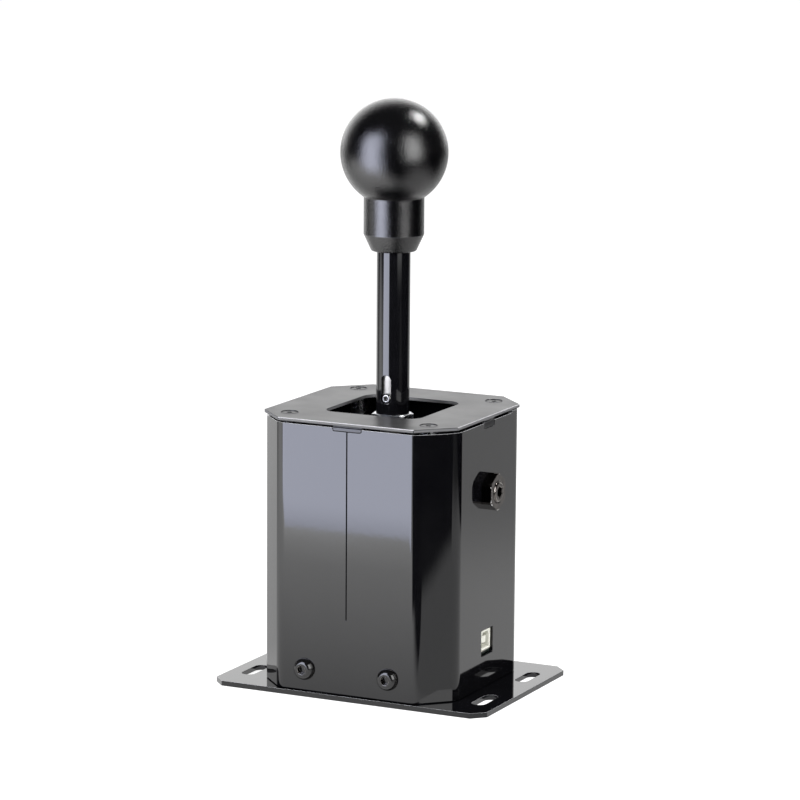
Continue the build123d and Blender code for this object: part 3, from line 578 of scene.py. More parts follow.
FINISHES: dict[str, Finish] = {
    # Powder coat baked on sheet steel: a deep wet gloss over faint orange peel, with a painted highlight on
    # its upper rims.
    "gloss_black_paint": Finish(
        "gloss_black_powder_coat", "#050507", "#08080a", (0.04, 0.06), grain=0.9, grain_height=0.0006,
        wave=4.0, wave_height=0.004, edge_tint="#1c1c20", painted_rim_tint="#99999c",
    ),
    # The same coat with a matting agent: an even satin with a fine tooth, with a painted highlight on its
    # upper rims.
    "satin_black_paint": Finish(
        "satin_black_powder_coat", "#0b0b0d", "#101013", (0.36, 0.42), grain=0.7, grain_height=0.006,
        wave=5.0, wave_height=0.004, edge_tint="#232326", cut_tint="#5c5c5e", painted_rim_tint="#99999c",
    ),
    # Polished and anodised tube: hard, clean highlights along its length.
    "gloss_black_tube": Finish(
        "gloss_black_anodised_tube", "#08080a", "#0d0d10", (0.04, 0.06), grain=0.5, grain_height=0.0006,
        lay=(1.0, 1.0, 14.0), edge_tint="#55565c",
    ),
    # Bead-blasted and anodised aluminium: thousands of tiny dimples that break the highlights up.
    # The real dimples are about 0.1 mm; they are drawn coarser so that they show.
    "blasted_black_aluminium": Finish(
        "blasted_black_anodised_aluminium", "#030304", "#050506", (0.15, 0.18), grain=0.7, grain_height=0.17,
        edge_tint="#2b2b2e", shine=0.62,
    ),
    # Black oxide on alloy steel: oiled and glossy; its edges are paler, partly where corners have rubbed and
    # partly as a painted highlight.
    "black_oxide": Finish(
        "black_oxide_steel", "#0c0b0b", "#080808", (0.12, 0.19), patch=5.0, grain=0.4,
        grain_height=0.002, edge_tint="#8d8681",
    ),
    # The same oxide left dry: an even satin that shows the light as the top plate round it does.
    "dry_black_oxide": Finish(
        "dry_black_oxide_steel", "#0b0b0c", "#101011", (0.34, 0.42), patch=5.0, grain=0.4,
        grain_height=0.004, edge_tint="#2a2a2c",
    ),
    # The same oxide on a ground nut: its faces are paler than a screw's, and its edges carry a painted
    # highlight, white on the outer ones that face the driver.
    "ground_black_oxide": Finish(
        "ground_black_oxide_steel", "#625d5a", "#4d4a48", (0.12, 0.18), metallic=1.0, patch=4.0, grain=0.5,
        grain_height=0.002, edge_tint="#d8d2cb", painted_rim_tint="#ffffff",
    ),
    # Bright zinc on steel: silvery with a faint cloudy bloom.
    "zinc_steel": Finish(
        "bright_zinc_plate", "#c9cacc", "#b3b5b9", (0.20, 0.32), metallic=1.0, patch=6.0, grain=0.5,
        grain_height=0.002, edge_tint="#e2e3e5",
    ),
    # Cold-drawn bar, turned but not polished: a broad soft shine.
    "drawn_bar": Finish(
        "cold_drawn_bar", "#a8a59c", "#939088", (0.44, 0.52), metallic=1.0, patch=7.0, grain=0.3,
        grain_height=0.003, lay=(6.0, 6.0, 1.0), edge_tint="#c4c4c5",
    ),
    # Ground steel: fine lines round the bar, bright and clean.
    "bright_steel": Finish(
        "ground_steel", "#c4c3c1", "#aeadab", (0.16, 0.26), metallic=1.0, patch=8.0, grain=0.3,
        grain_height=0.002, lay=(6.0, 6.0, 1.0), edge_tint="#e0dfdd",
    ),
    # Drawn spring wire: dull grey with lines along the wire.
    "spring_steel": Finish(
        "drawn_spring_wire", "#9b9a98", "#7e7d7b", (0.28, 0.42), metallic=1.0, patch=4.0, grain=0.3,
        grain_height=0.003,
    ),
    # Milled aluminium: pale, with cutter marks in one direction.
    "machined_aluminium": Finish(
        "milled_aluminium", "#c6c7c9", "#b5b6b8", (0.26, 0.38), metallic=1.0, patch=10.0, grain=0.35,
        grain_height=0.004, lay=(12.0, 1.0, 1.0), edge_tint="#dddedf",
    ),
    # Sintered bronze: warm, dull and slightly porous.
    "bush_bronze": Finish(
        "sintered_bronze", "#b08d57", "#94713f", (0.34, 0.48), metallic=1.0, patch=3.0, grain=0.35,
        grain_height=0.01, edge_tint="#cfae78",
    ),
    # Nickel on brass sheet: a warm bright grey.
    "nickel_plate": Finish(
        "nickel_plate", "#c8c4ba", "#b3afa5", (0.14, 0.26), metallic=1.0, patch=4.0, grain=0.4,
        grain_height=0.002, edge_tint="#e4e1d9",
    ),
    # Moulded glass-filled nylon: off-white and faintly mottled.
    "socket_plastic": Finish(
        "moulded_pale_nylon", "#dcdcd2", "#cfcfc4", (0.42, 0.54), patch=3.0, grain=0.3, grain_height=0.004,
        edge_tint="#ecece4",
    ),
    # Epoxy board under black solder mask.
    "board_laminate": TracedBoard(
        "black_solder_mask", "#0f1412", "#141a17", (0.30, 0.40), patch=8.0, grain=0.5, grain_height=0.003,
    ),
    # Moulded epoxy chip bodies: fine matte black.
    "chip_plastic": Finish(
        "moulded_epoxy", "#18181a", "#222224", (0.5, 0.62), patch=2.0, grain=0.2, grain_height=0.004,
    ),
}


class Palette:
    """Builds each finish once and gives pieces their material."""

    def __init__(self) -> None:
        """Starts with no material made."""
        self.made: dict[str, bpy.types.Material] = {}

    def material(self, slot: str) -> bpy.types.Material:
        """The material of a slot or a named finish, built when first asked for."""
        if slot not in self.made:
            self.made[slot] = FINISHES[slot].build()
        return self.made[slot]

    def give(self, piece: bpy.types.Object, slot: str, finish: str = "") -> None:
        """Gives a new piece its finish.

        Args:
            piece: The piece.
            slot: The record's material slot.
            finish: Name of the finish, where it isn't the slot's own.
        """
        piece.data.materials.clear()
        piece.data.materials.append(self.material(finish or slot))

    def dress_node(self, node: str, slot: str) -> None:
        """Gives a CAD node that stays its finish.

        Args:
            node: The node.
            slot: The record's material slot.
        """
        target = frame["nodes"][node]
        if not target.data.materials:
            target.data.materials.append(None)
        target.material_slots[0].material = self.material(slot)


palette = Palette()


def settle(piece: bpy.types.Object, slot: str, body: str, *nodes: str, finish: str = "") -> None:
    """Finishes a piece: its material, the CAD nodes that it stands for, and its body.

    Args:
        piece: The piece.
        slot: The record's material slot.
        body: The body that carries it.
        *nodes: The CAD nodes that it stands for.
        finish: Name of the finish, where it isn't the slot's own.
    """
    palette.give(piece, slot, finish)
    if nodes:
        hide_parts(*nodes)
    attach(piece, body)
    log.info("%s: %d faces on %s", piece.name, len(piece.data.polygons), body)


# Repeating pieces


def new_rule(name: str, inputs: dict[str, str]) -> tuple[bpy.types.NodeTree, dict[str, bpy.types.NodeSocket]]:
    """Starts a Geometry Nodes tree.

    Args:
        name: The tree's name.
        inputs: Label to kind of each input, such as Float or Object.

    Returns:
        The tree, and label to socket of each input.
    """
    tree = bpy.data.node_groups.new(name, "GeometryNodeTree")
    tree.interface.new_socket("Geometry", in_out="OUTPUT", socket_type="NodeSocketGeometry")
    for label, kind in inputs.items():
        tree.interface.new_socket(label, in_out="INPUT", socket_type=f"NodeSocket{kind}")
    given = add(tree, "NodeGroupInput").outputs
    return tree, {label: given[label] for label in inputs}


def end_rule(tree: bpy.types.NodeTree, shape: bpy.types.NodeSocket, finish: bpy.types.NodeSocket) -> None:
    """Ends a tree with real geometry and its material.

    Args:
        tree: The tree.
        shape: The geometry so far.
        finish: The material.
    """
    real = add(tree, "GeometryNodeRealizeInstances", {"Geometry": shape}).outputs[0]
    made = add(tree, "GeometryNodeSetMaterial", {"Geometry": real, "Material": finish}).outputs[0]
    add(tree, "NodeGroupOutput", {"Geometry": made})


def grow(name: str, tree: bpy.types.NodeTree, values: dict[str, object]) -> bpy.types.Object:
    """Runs a tree once and keeps its result as a plain mesh.

    Args:
        name: The new piece's name.
        tree: The Geometry Nodes tree.
        values: Input label to value.

    Returns:
        The piece, with no modifier left.
    """
    piece = linked(name, bpy.data.meshes.new(name))
    step = piece.modifiers.new("rule", "NODES")
    step.node_group = tree
    sockets = {item.name: item.identifier for item in tree.interface.items_tree if item.in_out == "INPUT"}
    for label, value in values.items():
        step[sockets[label]] = value
    return baked(piece)


class CornerRows:
    """A rule that sets one small part on each corner of a rectangle."""

    def __init__(self) -> None:
        """Builds the tree."""
        labels = {
            "Part": "Object", "Pitch X": "Float", "Pitch Y": "Float", "Place": "Vector", "Face Out": "Float",
            "Spin Axis": "Vector", "Seed": "Int", "Finish": "Material",
        }
        tree, given = new_rule("corner_rows", labels)
        sizes = {"Size X": given["Pitch X"], "Size Y": given["Pitch Y"], "Vertices X": 2, "Vertices Y": 2}
        grid = add(tree, "GeometryNodeMeshGrid", sizes).outputs["Mesh"]
        spot = add(tree, "ShaderNodeSeparateXYZ", {0: add(tree, "GeometryNodeInputPosition").outputs[0]})
        behind = {0: spot.outputs["Y"], 1: 0.0}
        angle = add(tree, "ShaderNodeMath", behind, operation="GREATER_THAN").outputs[0]
        for factor in (given["Face Out"], math.pi):
            angle = add(tree, "ShaderNodeMath", {0: angle, 1: factor}, operation="MULTIPLY").outputs[0]
        facing = add(tree, "ShaderNodeCombineXYZ", {"Z": angle}).outputs[0]
        part = add(tree, "GeometryNodeObjectInfo", {"Object": given["Part"]}).outputs["Geometry"]
        corners = {"Points": grid, "Instance": part, "Rotation": facing}
        placed = add(tree, "GeometryNodeInstanceOnPoints", corners).outputs[0]
        chances = {"Min": 0.0, "Max": math.tau, "Seed": given["Seed"]}
        chance = add(tree, "FunctionNodeRandomValue", chances).outputs[1]
        about = {0: given["Spin Axis"], "Scale": chance}
        spin = add(tree, "ShaderNodeVectorMath", about, operation="SCALE").outputs[0]
        turns = {"Instances": placed, "Rotation": spin, "Local Space": True}
        spun = add(tree, "GeometryNodeRotateInstances", turns).outputs[0]
        shift = {"Instances": spun, "Translation": given["Place"], "Local Space": False}
        end_rule(tree, add(tree, "GeometryNodeTranslateInstances", shift).outputs[0], given["Finish"])
        self.tree = tree

    def grow(
        self, name: str, part: bpy.types.Object, pitch: tuple[float, float], place: Vector, slot: str,
        spin: tuple[float, float, float] = (0.0, 0.0, 0.0), face_out: bool = False, seed: int = 0,
    ) -> bpy.types.Object:
        """Sets the part at four places.

        Args:
            name: The new piece's name.
            part: The pattern part, which is removed.
            pitch: Spacing along X and Y.
            place: The rectangle's middle, in metres.
            slot: The record's material slot.
            spin: The axis about which each part is turned by chance.
            face_out: Whether the parts behind are turned to the back.
            seed: The seed of the chance turns.

        Returns:
            The piece.
        """
        values = {
            "Part": part, "Pitch X": pitch[0] * MM, "Pitch Y": pitch[1] * MM, "Place": place,
            "Face Out": float(face_out), "Spin Axis": spin, "Seed": seed, "Finish": palette.material(slot),
        }
        piece = grow(name, self.tree, values)
        bpy.data.objects.remove(part)
        return even_normals(piece)


class CoilRule:
    """A rule that winds a spring with a closed turn at each end.

    Attributes:
        POINTS: Points along the wire.
        FACETS: Facets round it.
    """

    POINTS = 200
    FACETS = 12

    def __init__(self) -> None:
        """Builds the tree.

        Each closed turn rises by one wire, and half a wire lies below the first and above the last,
        so the open turns rise by the length less three wires.
        """
        labels = {label: "Float" for label in ("Radius", "Wire", "Length", "Turns")} | {"Finish": "Material"}
        tree, given = new_rule("coil", labels)
        line = add(tree, "GeometryNodeCurvePrimitiveLine").outputs[0]
        line = add(tree, "GeometryNodeResampleCurve", {"Curve": line, "Count": self.POINTS}).outputs[0]
        share = add(tree, "GeometryNodeSplineParameter").outputs["Factor"]
        turned = add(tree, "ShaderNodeMath", {0: share, 1: given["Turns"]}, operation="MULTIPLY").outputs[0]
        angle = add(tree, "ShaderNodeMath", {0: turned, 1: math.tau}, operation="MULTIPLY").outputs[0]
        spot = {}
        for axis, wave in (("X", "COSINE"), ("Y", "SINE")):
            part = add(tree, "ShaderNodeMath", {0: angle}, operation=wave).outputs[0]
            reach = {0: part, 1: given["Radius"]}
            spot[axis] = add(tree, "ShaderNodeMath", reach, operation="MULTIPLY").outputs[0]
        last = add(tree, "ShaderNodeMath", {0: given["Turns"], 1: 1.0}, operation="SUBTRACT").outputs[0]
        closed = add(tree, "ShaderNodeMath", {0: given["Wire"], 1: 3.0}, operation="MULTIPLY").outputs[0]
        opened = add(tree, "ShaderNodeMath", {0: given["Length"], 1: closed}, operation="SUBTRACT").outputs[0]
        half_wire = add(tree, "ShaderNodeMath", {0: given["Wire"], 1: 0.5}, operation="MULTIPLY").outputs[0]
        legs = ((0.0, 1.0, given["Wire"]), (1.0, last, opened), (last, given["Turns"], given["Wire"]))
        spot["Z"] = half_wire
        for start, end, height in legs:
            leg = {"Value": turned, "From Min": start, "From Max": end, "To Min": 0.0, "To Max": height}
            rise = {0: spot["Z"], 1: add(tree, "ShaderNodeMapRange", leg).outputs[0]}
            spot["Z"] = add(tree, "ShaderNodeMath", rise, operation="ADD").outputs[0]
        place = add(tree, "ShaderNodeCombineXYZ", spot).outputs[0]
        helix = add(tree, "GeometryNodeSetPosition", {"Geometry": line, "Position": place}).outputs[0]
        circle = {"Resolution": self.FACETS, "Radius": half_wire}
        section = add(tree, "GeometryNodeCurvePrimitiveCircle", circle).outputs[0]
        sweep = {"Curve": helix, "Profile Curve": section, "Fill Caps": True}
        end_rule(tree, add(tree, "GeometryNodeCurveToMesh", sweep).outputs[0], given["Finish"])
        self.tree = tree


# The part


@dataclass
class SheetWork:
    """Base plate, housing sleeve and top plate, cut and bent from sheet.

    Attributes:
        base_edge: Width of the rounding that the coat leaves on the base plate's edges.
        sleeve_edge: The same on the sleeve's.
        lid_edge: The same on the top plate's.
        bands: Bands across these roundings.
        sleeve_angle: Edges of the sleeve that bend more than this are rounded, in degrees.
        sleeve_ends: Heights of the sleeve's ends, which leave dark lines above the base plate and,
            in front and at the sides, under the top plate.
        trim_back: How far back the sleeve's top is trimmed.
        trim: Half the width and the height of the tools that trim the sleeve.
        rim: Widest face of a rim on the sleeve and the top plate, where a highlight is painted.
        rim_depth: How far below the sleeve's top end its rim may lie.
        rim_slope: Least upward part of a rim's normal.
        rim_from: Along X, along Y and in the sum of both, where the plates' rims start.
        cut_faces: Least and greatest width of the top plate's cut faces.
        lid_foot: Height of the top plate's underside.
        groove: Half the groove's width, and its foot and tip before it is turned over.
        groove_run: Half its length.
        groove_height: Its height.
        tab_reach: How far from the part's axis the tabs bend, in front and at the sides.
    """

    base_edge: float = 0.6
    sleeve_edge: float = 0.33
    lid_edge: float = 0.3
    bands: int = 3
    sleeve_angle: float = 40.0
    sleeve_ends: tuple[float, float] = (2.95, 131.1)
    trim_back: float = 26.0
    trim: tuple[float, float] = (60.0, 5.0)
    rim: float = 0.3
    rim_depth: float = 1.0
    rim_slope: float = 0.1
    rim_from: tuple[float, float, float] = (50.2, 49.0, 86.0)
    cut_faces: tuple[float, float] = (0.4, 1.3)
    lid_foot: float = 132.3
    groove: tuple[float, float, float] = (0.64, -0.06, 0.7)
    groove_run: float = 9.0
    groove_height: float = 131.66
    tab_reach: tuple[float, float] = (48.35, 51.0)

    def build(self) -> None:
        """Makes the three sheets with finer edges."""
        base = soften(cad_copy("base_sheet", "base_plate"), self.base_edge, self.bands)
        # The base plate's outer upper edges get a painted highlight.
        mark_edges(base, self.base_edge * ROUNDING_SHARE, Mark.RIM, where=self.on_rim)
        settle(base, "gloss_black_paint", "casing", "base_plate")

        sleeve = cad_copy("sleeve", "housing_shell")
        foot, top = self.sleeve_ends
        half, height = self.trim
        for name, back, low in (("foot_tool", half, foot - height), ("top_tool", self.trim_back, top)):
            outline = [(-half, -half), (half, -half), (half, back), (-half, back)]
            boolean(sleeve, prism(name, outline, low, low + height))
        soften(sleeve, self.sleeve_edge, self.bands, self.sleeve_angle)
        # The sleeve's upper edge gets a painted highlight.
        mark_edges(sleeve, self.rim, Mark.RIM, where=self.on_sleeve_rim)
        settle(sleeve, "gloss_black_paint", "casing", "housing_shell")

        window = soften(cad_copy("window_plate", "top_plate"), self.lid_edge, self.bands, clamp=False)
        self.cut_grooves(window)
        least, widest = self.cut_faces
        mark_edges(window, widest, Mark.CUT, least, lambda at, normal: at.z > self.lid_foot)
        # The top plate's outer upper edges get a painted highlight.
        mark_edges(window, self.rim, Mark.RIM, where=self.on_rim)
        settle(window, "satin_black_paint", "casing", "top_plate")

    def on_rim(self, at: Vector, normal: Vector) -> bool:
        """Whether a face lies on a plate's outer upper edge."""
        side, front, corner = self.rim_from
        outside = abs(at.x) + abs(at.y) > corner or abs(at.y) > front or abs(at.x) > side
        return normal.z > self.rim_slope and outside

    def on_sleeve_rim(self, at: Vector, normal: Vector) -> bool:
        """Whether a face lies on the sleeve's upper edge."""
        return at.z > self.sleeve_ends[1] - self.rim_depth and normal.z > self.rim_slope

    def cut_grooves(self, window: bpy.types.Object) -> None:
        """Cuts the line that each bent tab shows where it leaves the plate.

        Args:
            window: The top plate.
        """
        half, foot, tip = self.groove
        for quarter in range(4):
            outline = [(-half, foot), (half, foot), (0, tip)]
            tool = prism("groove_tool", outline, -self.groove_run, self.groove_run)
            moved(tool, mm(0, -self.tab_reach[quarter % 2], self.groove_height), ALONG_X)
            moved(tool, ORIGIN, Matrix.Rotation(math.radians(90 * quarter), 4, "Z"))
            boolean(window, tool)
        even_normals(window)


@dataclass
class Knob:
    """Ball knob, turned in one piece with its neck and cone.

    Attributes:
        bottom: Height of its underside.
        bore: Radius of the tube's bore, and its depth.
        mouth: Width of the bevel at the bore's mouth.
        foot: Radius at the cone's foot, and the rounding there.
        neck: Radius of the neck, and the height where it starts.
        shoulder: Rounding between cone and neck, and its middle's height over the neck's start.
        ball: Radius of the ball, and the height of its middle above the underside.
        blend: Radius of the fillet between neck and ball.
        sides: Facets round the axis.
        chords: Chords of the arcs at the foot, the shoulder and the fillet, and of the ball.
        wear_and_sheen: Widest face that counts as an edge.
    """

    bottom: float = 209.1
    bore: tuple[float, float] = (8.05, 27.9)
    mouth: float = 0.4
    foot: tuple[float, float] = (11.05, 1.0)
    neck: tuple[float, float] = (14.4, 7.8)
    shoulder: tuple[float, float] = (0.6, 0.35)
    ball: tuple[float, float] = (25.6, 46.8)
    blend: float = 0.5
    sides: int = 160
    chords: tuple[int, int, int, int] = (6, 5, 5, 64)
    wear_and_sheen: float = 0.05

    def build(self) -> None:
        """Turns the knob and sets it on the grip."""
        bore, depth = self.bore
        foot, rounding = self.foot
        neck, neck_start = self.neck
        ball, middle = self.ball
        bend, rise = self.shoulder
        at_foot, at_shoulder, at_fillet, on_ball = self.chords
        slope = math.degrees(math.atan2(neck_start, neck - foot)) + DOWN
        profile = [(0.0, depth), (bore, depth), (bore, self.mouth), (bore + self.mouth, 0.0)]
        profile += arc((foot - rounding, rounding), rounding, DOWN, slope, at_foot)
        profile += arc((neck - bend, neck_start + rise), bend, slope, OUT, at_shoulder)
        reach = ball + self.blend
        across = neck + self.blend
        drop = math.sqrt(reach**2 - across**2)
        turn = math.degrees(math.atan2(-drop, across))
        profile += [(neck, middle - drop)]
        profile += arc((across, middle - drop), self.blend, IN, IN + turn, at_fillet)[1:]
        profile += arc((0.0, middle), ball, turn, UP, on_ball)[1:-1]
        profile += [(0.0, middle + ball)]
        piece = moved(lathe("ball_knob", profile, self.sides), mm(0, 0, self.bottom))
        mark_edges(piece, self.wear_and_sheen)
        settle(piece, "blasted_black_aluminium", "grip", "shift_knob")


@dataclass
class Lever:
    """Tube with its height slot, the rod inside it, the clamping screw and the lock nut.

    Attributes:
        tube: Outer radius, bore radius, bottom and top of the tube.
        tube_edge: Width and bands of its rounded edges.
        tube_sides: Facets round it.
        slot: Width, bottom and top of the slot towards the driver.
        slot_chords: Chords of each of the slot's round ends.
        rod: Radius, bottom and top of the rod.
        rod_bevel: Width of the bevel at the rod's ends.
        rod_edge: Width of its rounded edges.
        hole: Radius of the rod's hole for the screw, and how far from the axis it starts.
        hole_chords: Chords round that hole.
        screw_height: Height of the clamping screw's axis.
        screw: Radius of the clamping screw and distance from the axis, from its point to its end.
        screw_socket: Width across flats and depth of its socket.
        nut: Width across flats, bottom and top of the lock nut, and one corner's direction.
    """

    tube: tuple[float, float, float, float] = (8.0, 6.1, 131.0, 237.0)
    tube_edge: tuple[float, int] = (0.35, 3)
    tube_sides: int = 128
    slot: tuple[float, float, float] = (5.4, 136.0, 150.1)
    slot_chords: int = 16
    rod: tuple[float, float, float] = (6.0, 86.0, 200.0)
    rod_bevel: float = 0.8
    rod_edge: float = 0.1
    hole: tuple[float, float] = (2.55, 2.9)
    hole_chords: int = 32
    screw_height: float = 138.7
    screw: tuple[tuple[float, float], ...] = (
        (0.0, 3.0), (2.5, 3.0), (2.5, 6.8), (2.4, 6.95), (1.6, 7.5), (0.0, 7.5),
    )
    screw_socket: tuple[float, float] = (2.5, 2.5)
    nut: tuple[float, float, float, float] = (18.0, 125.0, 131.0, 26.0)

    def build(self) -> None:
        """Makes the four pieces."""
        outer, bore, low, high = self.tube
        wall = [(bore, low), (outer, low), (outer, high), (bore, high)]
        tube = lathe("slotted_tube", wall, self.tube_sides)
        width, start, end = self.slot
        half = width / 2
        outline = arc((0, end - half), half, OUT, IN, self.slot_chords)
        outline += arc((0, start + half), half, IN, FULL_TURN, self.slot_chords)
        cutter = moved(prism("slot_tool", outline, 0, outer + 2 * OVERRUN), ORIGIN, TO_DRIVER)
        soften(boolean(tube, cutter), *self.tube_edge)
        settle(tube, "gloss_black_tube", "grip", "lever_tube")

        radius, foot, top = self.rod
        tip = radius - self.rod_bevel
        profile = [(0, foot), (tip, foot), (radius, foot + self.rod_bevel), (radius, top - self.rod_bevel)]
        bar = lathe("bright_rod", [*profile, (tip, top), (0, top)])
        hole, inside = self.hole
        ring = arc((0, 0), hole, OUT, FULL_TURN, self.hole_chords)[:-1]
        across = mm(0, 0, self.screw_height)
        boolean(bar, moved(prism("rod_tool", ring, inside, radius + 2 * OVERRUN), across, TO_DRIVER))
        soften(bar, self.rod_edge)
        settle(bar, "zinc_steel", "lever", "lever_rod", finish="drawn_bar")

        screw = moved(socket_part("clamping_screw", self.screw, *self.screw_socket), across, TO_DRIVER)
        settle(screw, "bright_steel", "lever", "height_screw")

        flats, nut_low, nut_high, turn = self.nut
        nut = moved(hex_nut("tube_lock_nut", flats, nut_high - nut_low, bore, turn), mm(0, 0, nut_low))
        settle(nut, "zinc_steel", "grip", "height_nut")


# Width, bands and least angle of a screw's rounded edges.
SCREW_EDGE = (0.12, 2, 25.0)

# How far a nut's corners are turned down, the height of the cone that this leaves over its width,
# the depth of the countersink in its bore, and the bands and least angle of its rounded edges.
CORNER_SHARE = 0.965
CONE_SHARE = 0.55
COUNTERSINK = 0.6
NUT_EDGE = (2, 20.0)


def socket_part(
    name: str, profile: Sequence[tuple[float, float]], flats: float, depth: float
) -> bpy.types.Object:
    """Makes a turned screw along Z with a hexagon socket in its top.

    Args:
        name: The piece's name.
        profile: Radius and height, from the foot's middle to the top's.
        flats: The socket's width across flats.
        depth: The socket's depth.

    Returns:
        The screw, with rounded edges.
    """
    top = profile[-1][1]
    screw = lathe(name, profile, SMALL_SIDES)
    boolean(screw, prism("socket_tool", hexagon(flats), top - depth, top + OVERRUN))
    return soften(screw, *SCREW_EDGE)


def hex_nut(
    name: str, flats: float, height: float, bore: float, turn: float = 0.0, face: float = 0.97,
    edge: float = 0.18,
) -> bpy.types.Object:
    """Makes a nut that stands on Z, its corners turned off at both faces and its bore countersunk.

    Args:
        name: The nut's name.
        flats: Width across flats.
        height: Its height.
        bore: Radius of its bore.
        turn: Direction of one corner, in degrees.
        face: Radius of the round face that the turning leaves, over half the width across flats.
        edge: Width of its rounded edges.

    Returns:
        The nut, with rounded edges.
    """
    corner = flats / 2 / HEX_COSINE * CORNER_SHARE
    flat = flats / 2 * face
    cone = (corner - flat) * CONE_SHARE
    blank = [(0, 0), (flat, 0), (corner, cone), (corner, height - cone), (flat, height), (0, height)]
    nut = boolean(prism(name, hexagon(flats, turn), 0, height), lathe("nut_tool", blank), Shaping.TRIM)
    mouth = bore + COUNTERSINK + OVERRUN
    hole = [(0, -OVERRUN), (mouth, -OVERRUN), (bore, COUNTERSINK), (bore, height - COUNTERSINK)]
    hole += [(mouth, height + OVERRUN), (0, height + OVERRUN)]
    boolean(nut, lathe("bore_tool", hole, SMALL_SIDES))
    return soften(nut, edge, *NUT_EDGE)


@dataclass
class Adjuster:
    """Detent adjuster on the right face: lock nut and hollow screw.

    Attributes:
        height: Height of its axis.
        face: Where the housing's right face is, along X.
        nut: Width across flats and thickness of the nut.
        nut_face: Radius of its round face over half its width across flats.
        nut_edge: Width of its rounded edges.
        fit: How much wider the nut's bore is than the screw's radius.
        lit: Widest edge face of the nut that gets a painted highlight, how far behind its outer face
        such a face may lie, and how far its normal has to point to the driver.
        screw: Radius of the screw, where its mouth starts, and where it ends.
        bevels: Bevels at the screw's mouth and at its end.
        cavity: Radius of the spring's cavity, and the wall between it and the socket.
        socket: Width across flats and depth of its socket.
    """

    height: float = 97.6
    face: float = 51.0
    nut: tuple[float, float] = (16.0, 5.0)
    nut_face: float = 1.06
    nut_edge: float = 0.45
    fit: float = 0.05
    lit: tuple[float, float, float] = (0.4, 1.0, 0.2)
    screw: tuple[float, float, float] = (5.0, 42.9, 56.7)
    bevels: tuple[float, float] = (0.4, 0.7)
    cavity: tuple[float, float] = (3.1, 1.4)
    socket: tuple[float, float] = (5.0, 3.0)

    def build(self) -> None:
        """Makes the nut and the screw along +X."""
        flats, thick = self.nut
        radius, start, end = self.screw
        nut = hex_nut(
            "adjuster_lock_nut", flats, thick, radius + self.fit, face=self.nut_face, edge=self.nut_edge
        )
        moved(nut, mm(self.face, 0, self.height), ALONG_X)
        width, depth, lean = self.lit
        outside = self.face + thick - depth
        # The nut's outer edges that face the driver get a painted highlight.
        mark_edges(nut, width, Mark.RIM, where=lambda at, normal: at.x > outside and normal.y < -lean)
        settle(nut, "black_oxide", "casing", "adjuster_nut", finish="ground_black_oxide")

        length = end - start
        inner, wall = self.cavity
        floor = length - self.socket[1] - wall
        mouth, tip = self.bevels
        profile = [(0, floor), (inner, floor), (inner, 0), (radius - mouth, 0), (radius, mouth)]
        profile += [(radius, length - tip), (radius - tip, length), (0, length)]
        screw = socket_part("adjuster_set_screw", profile, *self.socket)
        moved(screw, mm(start, 0, self.height), ALONG_X)
        settle(screw, "black_oxide", "adjuster", "adjuster_screw", finish="ground_black_oxide")


@dataclass(frozen=True)
class SunkRow:
    """Four countersunk screws that come up from beneath.

    Attributes:
        name: The row's name.
        node: The CAD node that it stands for.
        pitch: Spacing along X and Y.
        length: A screw's length.
        seed: The seed of the screws' turns.
    """

    name: str
    node: str
    pitch: tuple[float, float]
    length: float
    seed: int


# Spacing of the posts, and so of the screws at both their ends.
POST_PITCH = (73.0, 72.6)


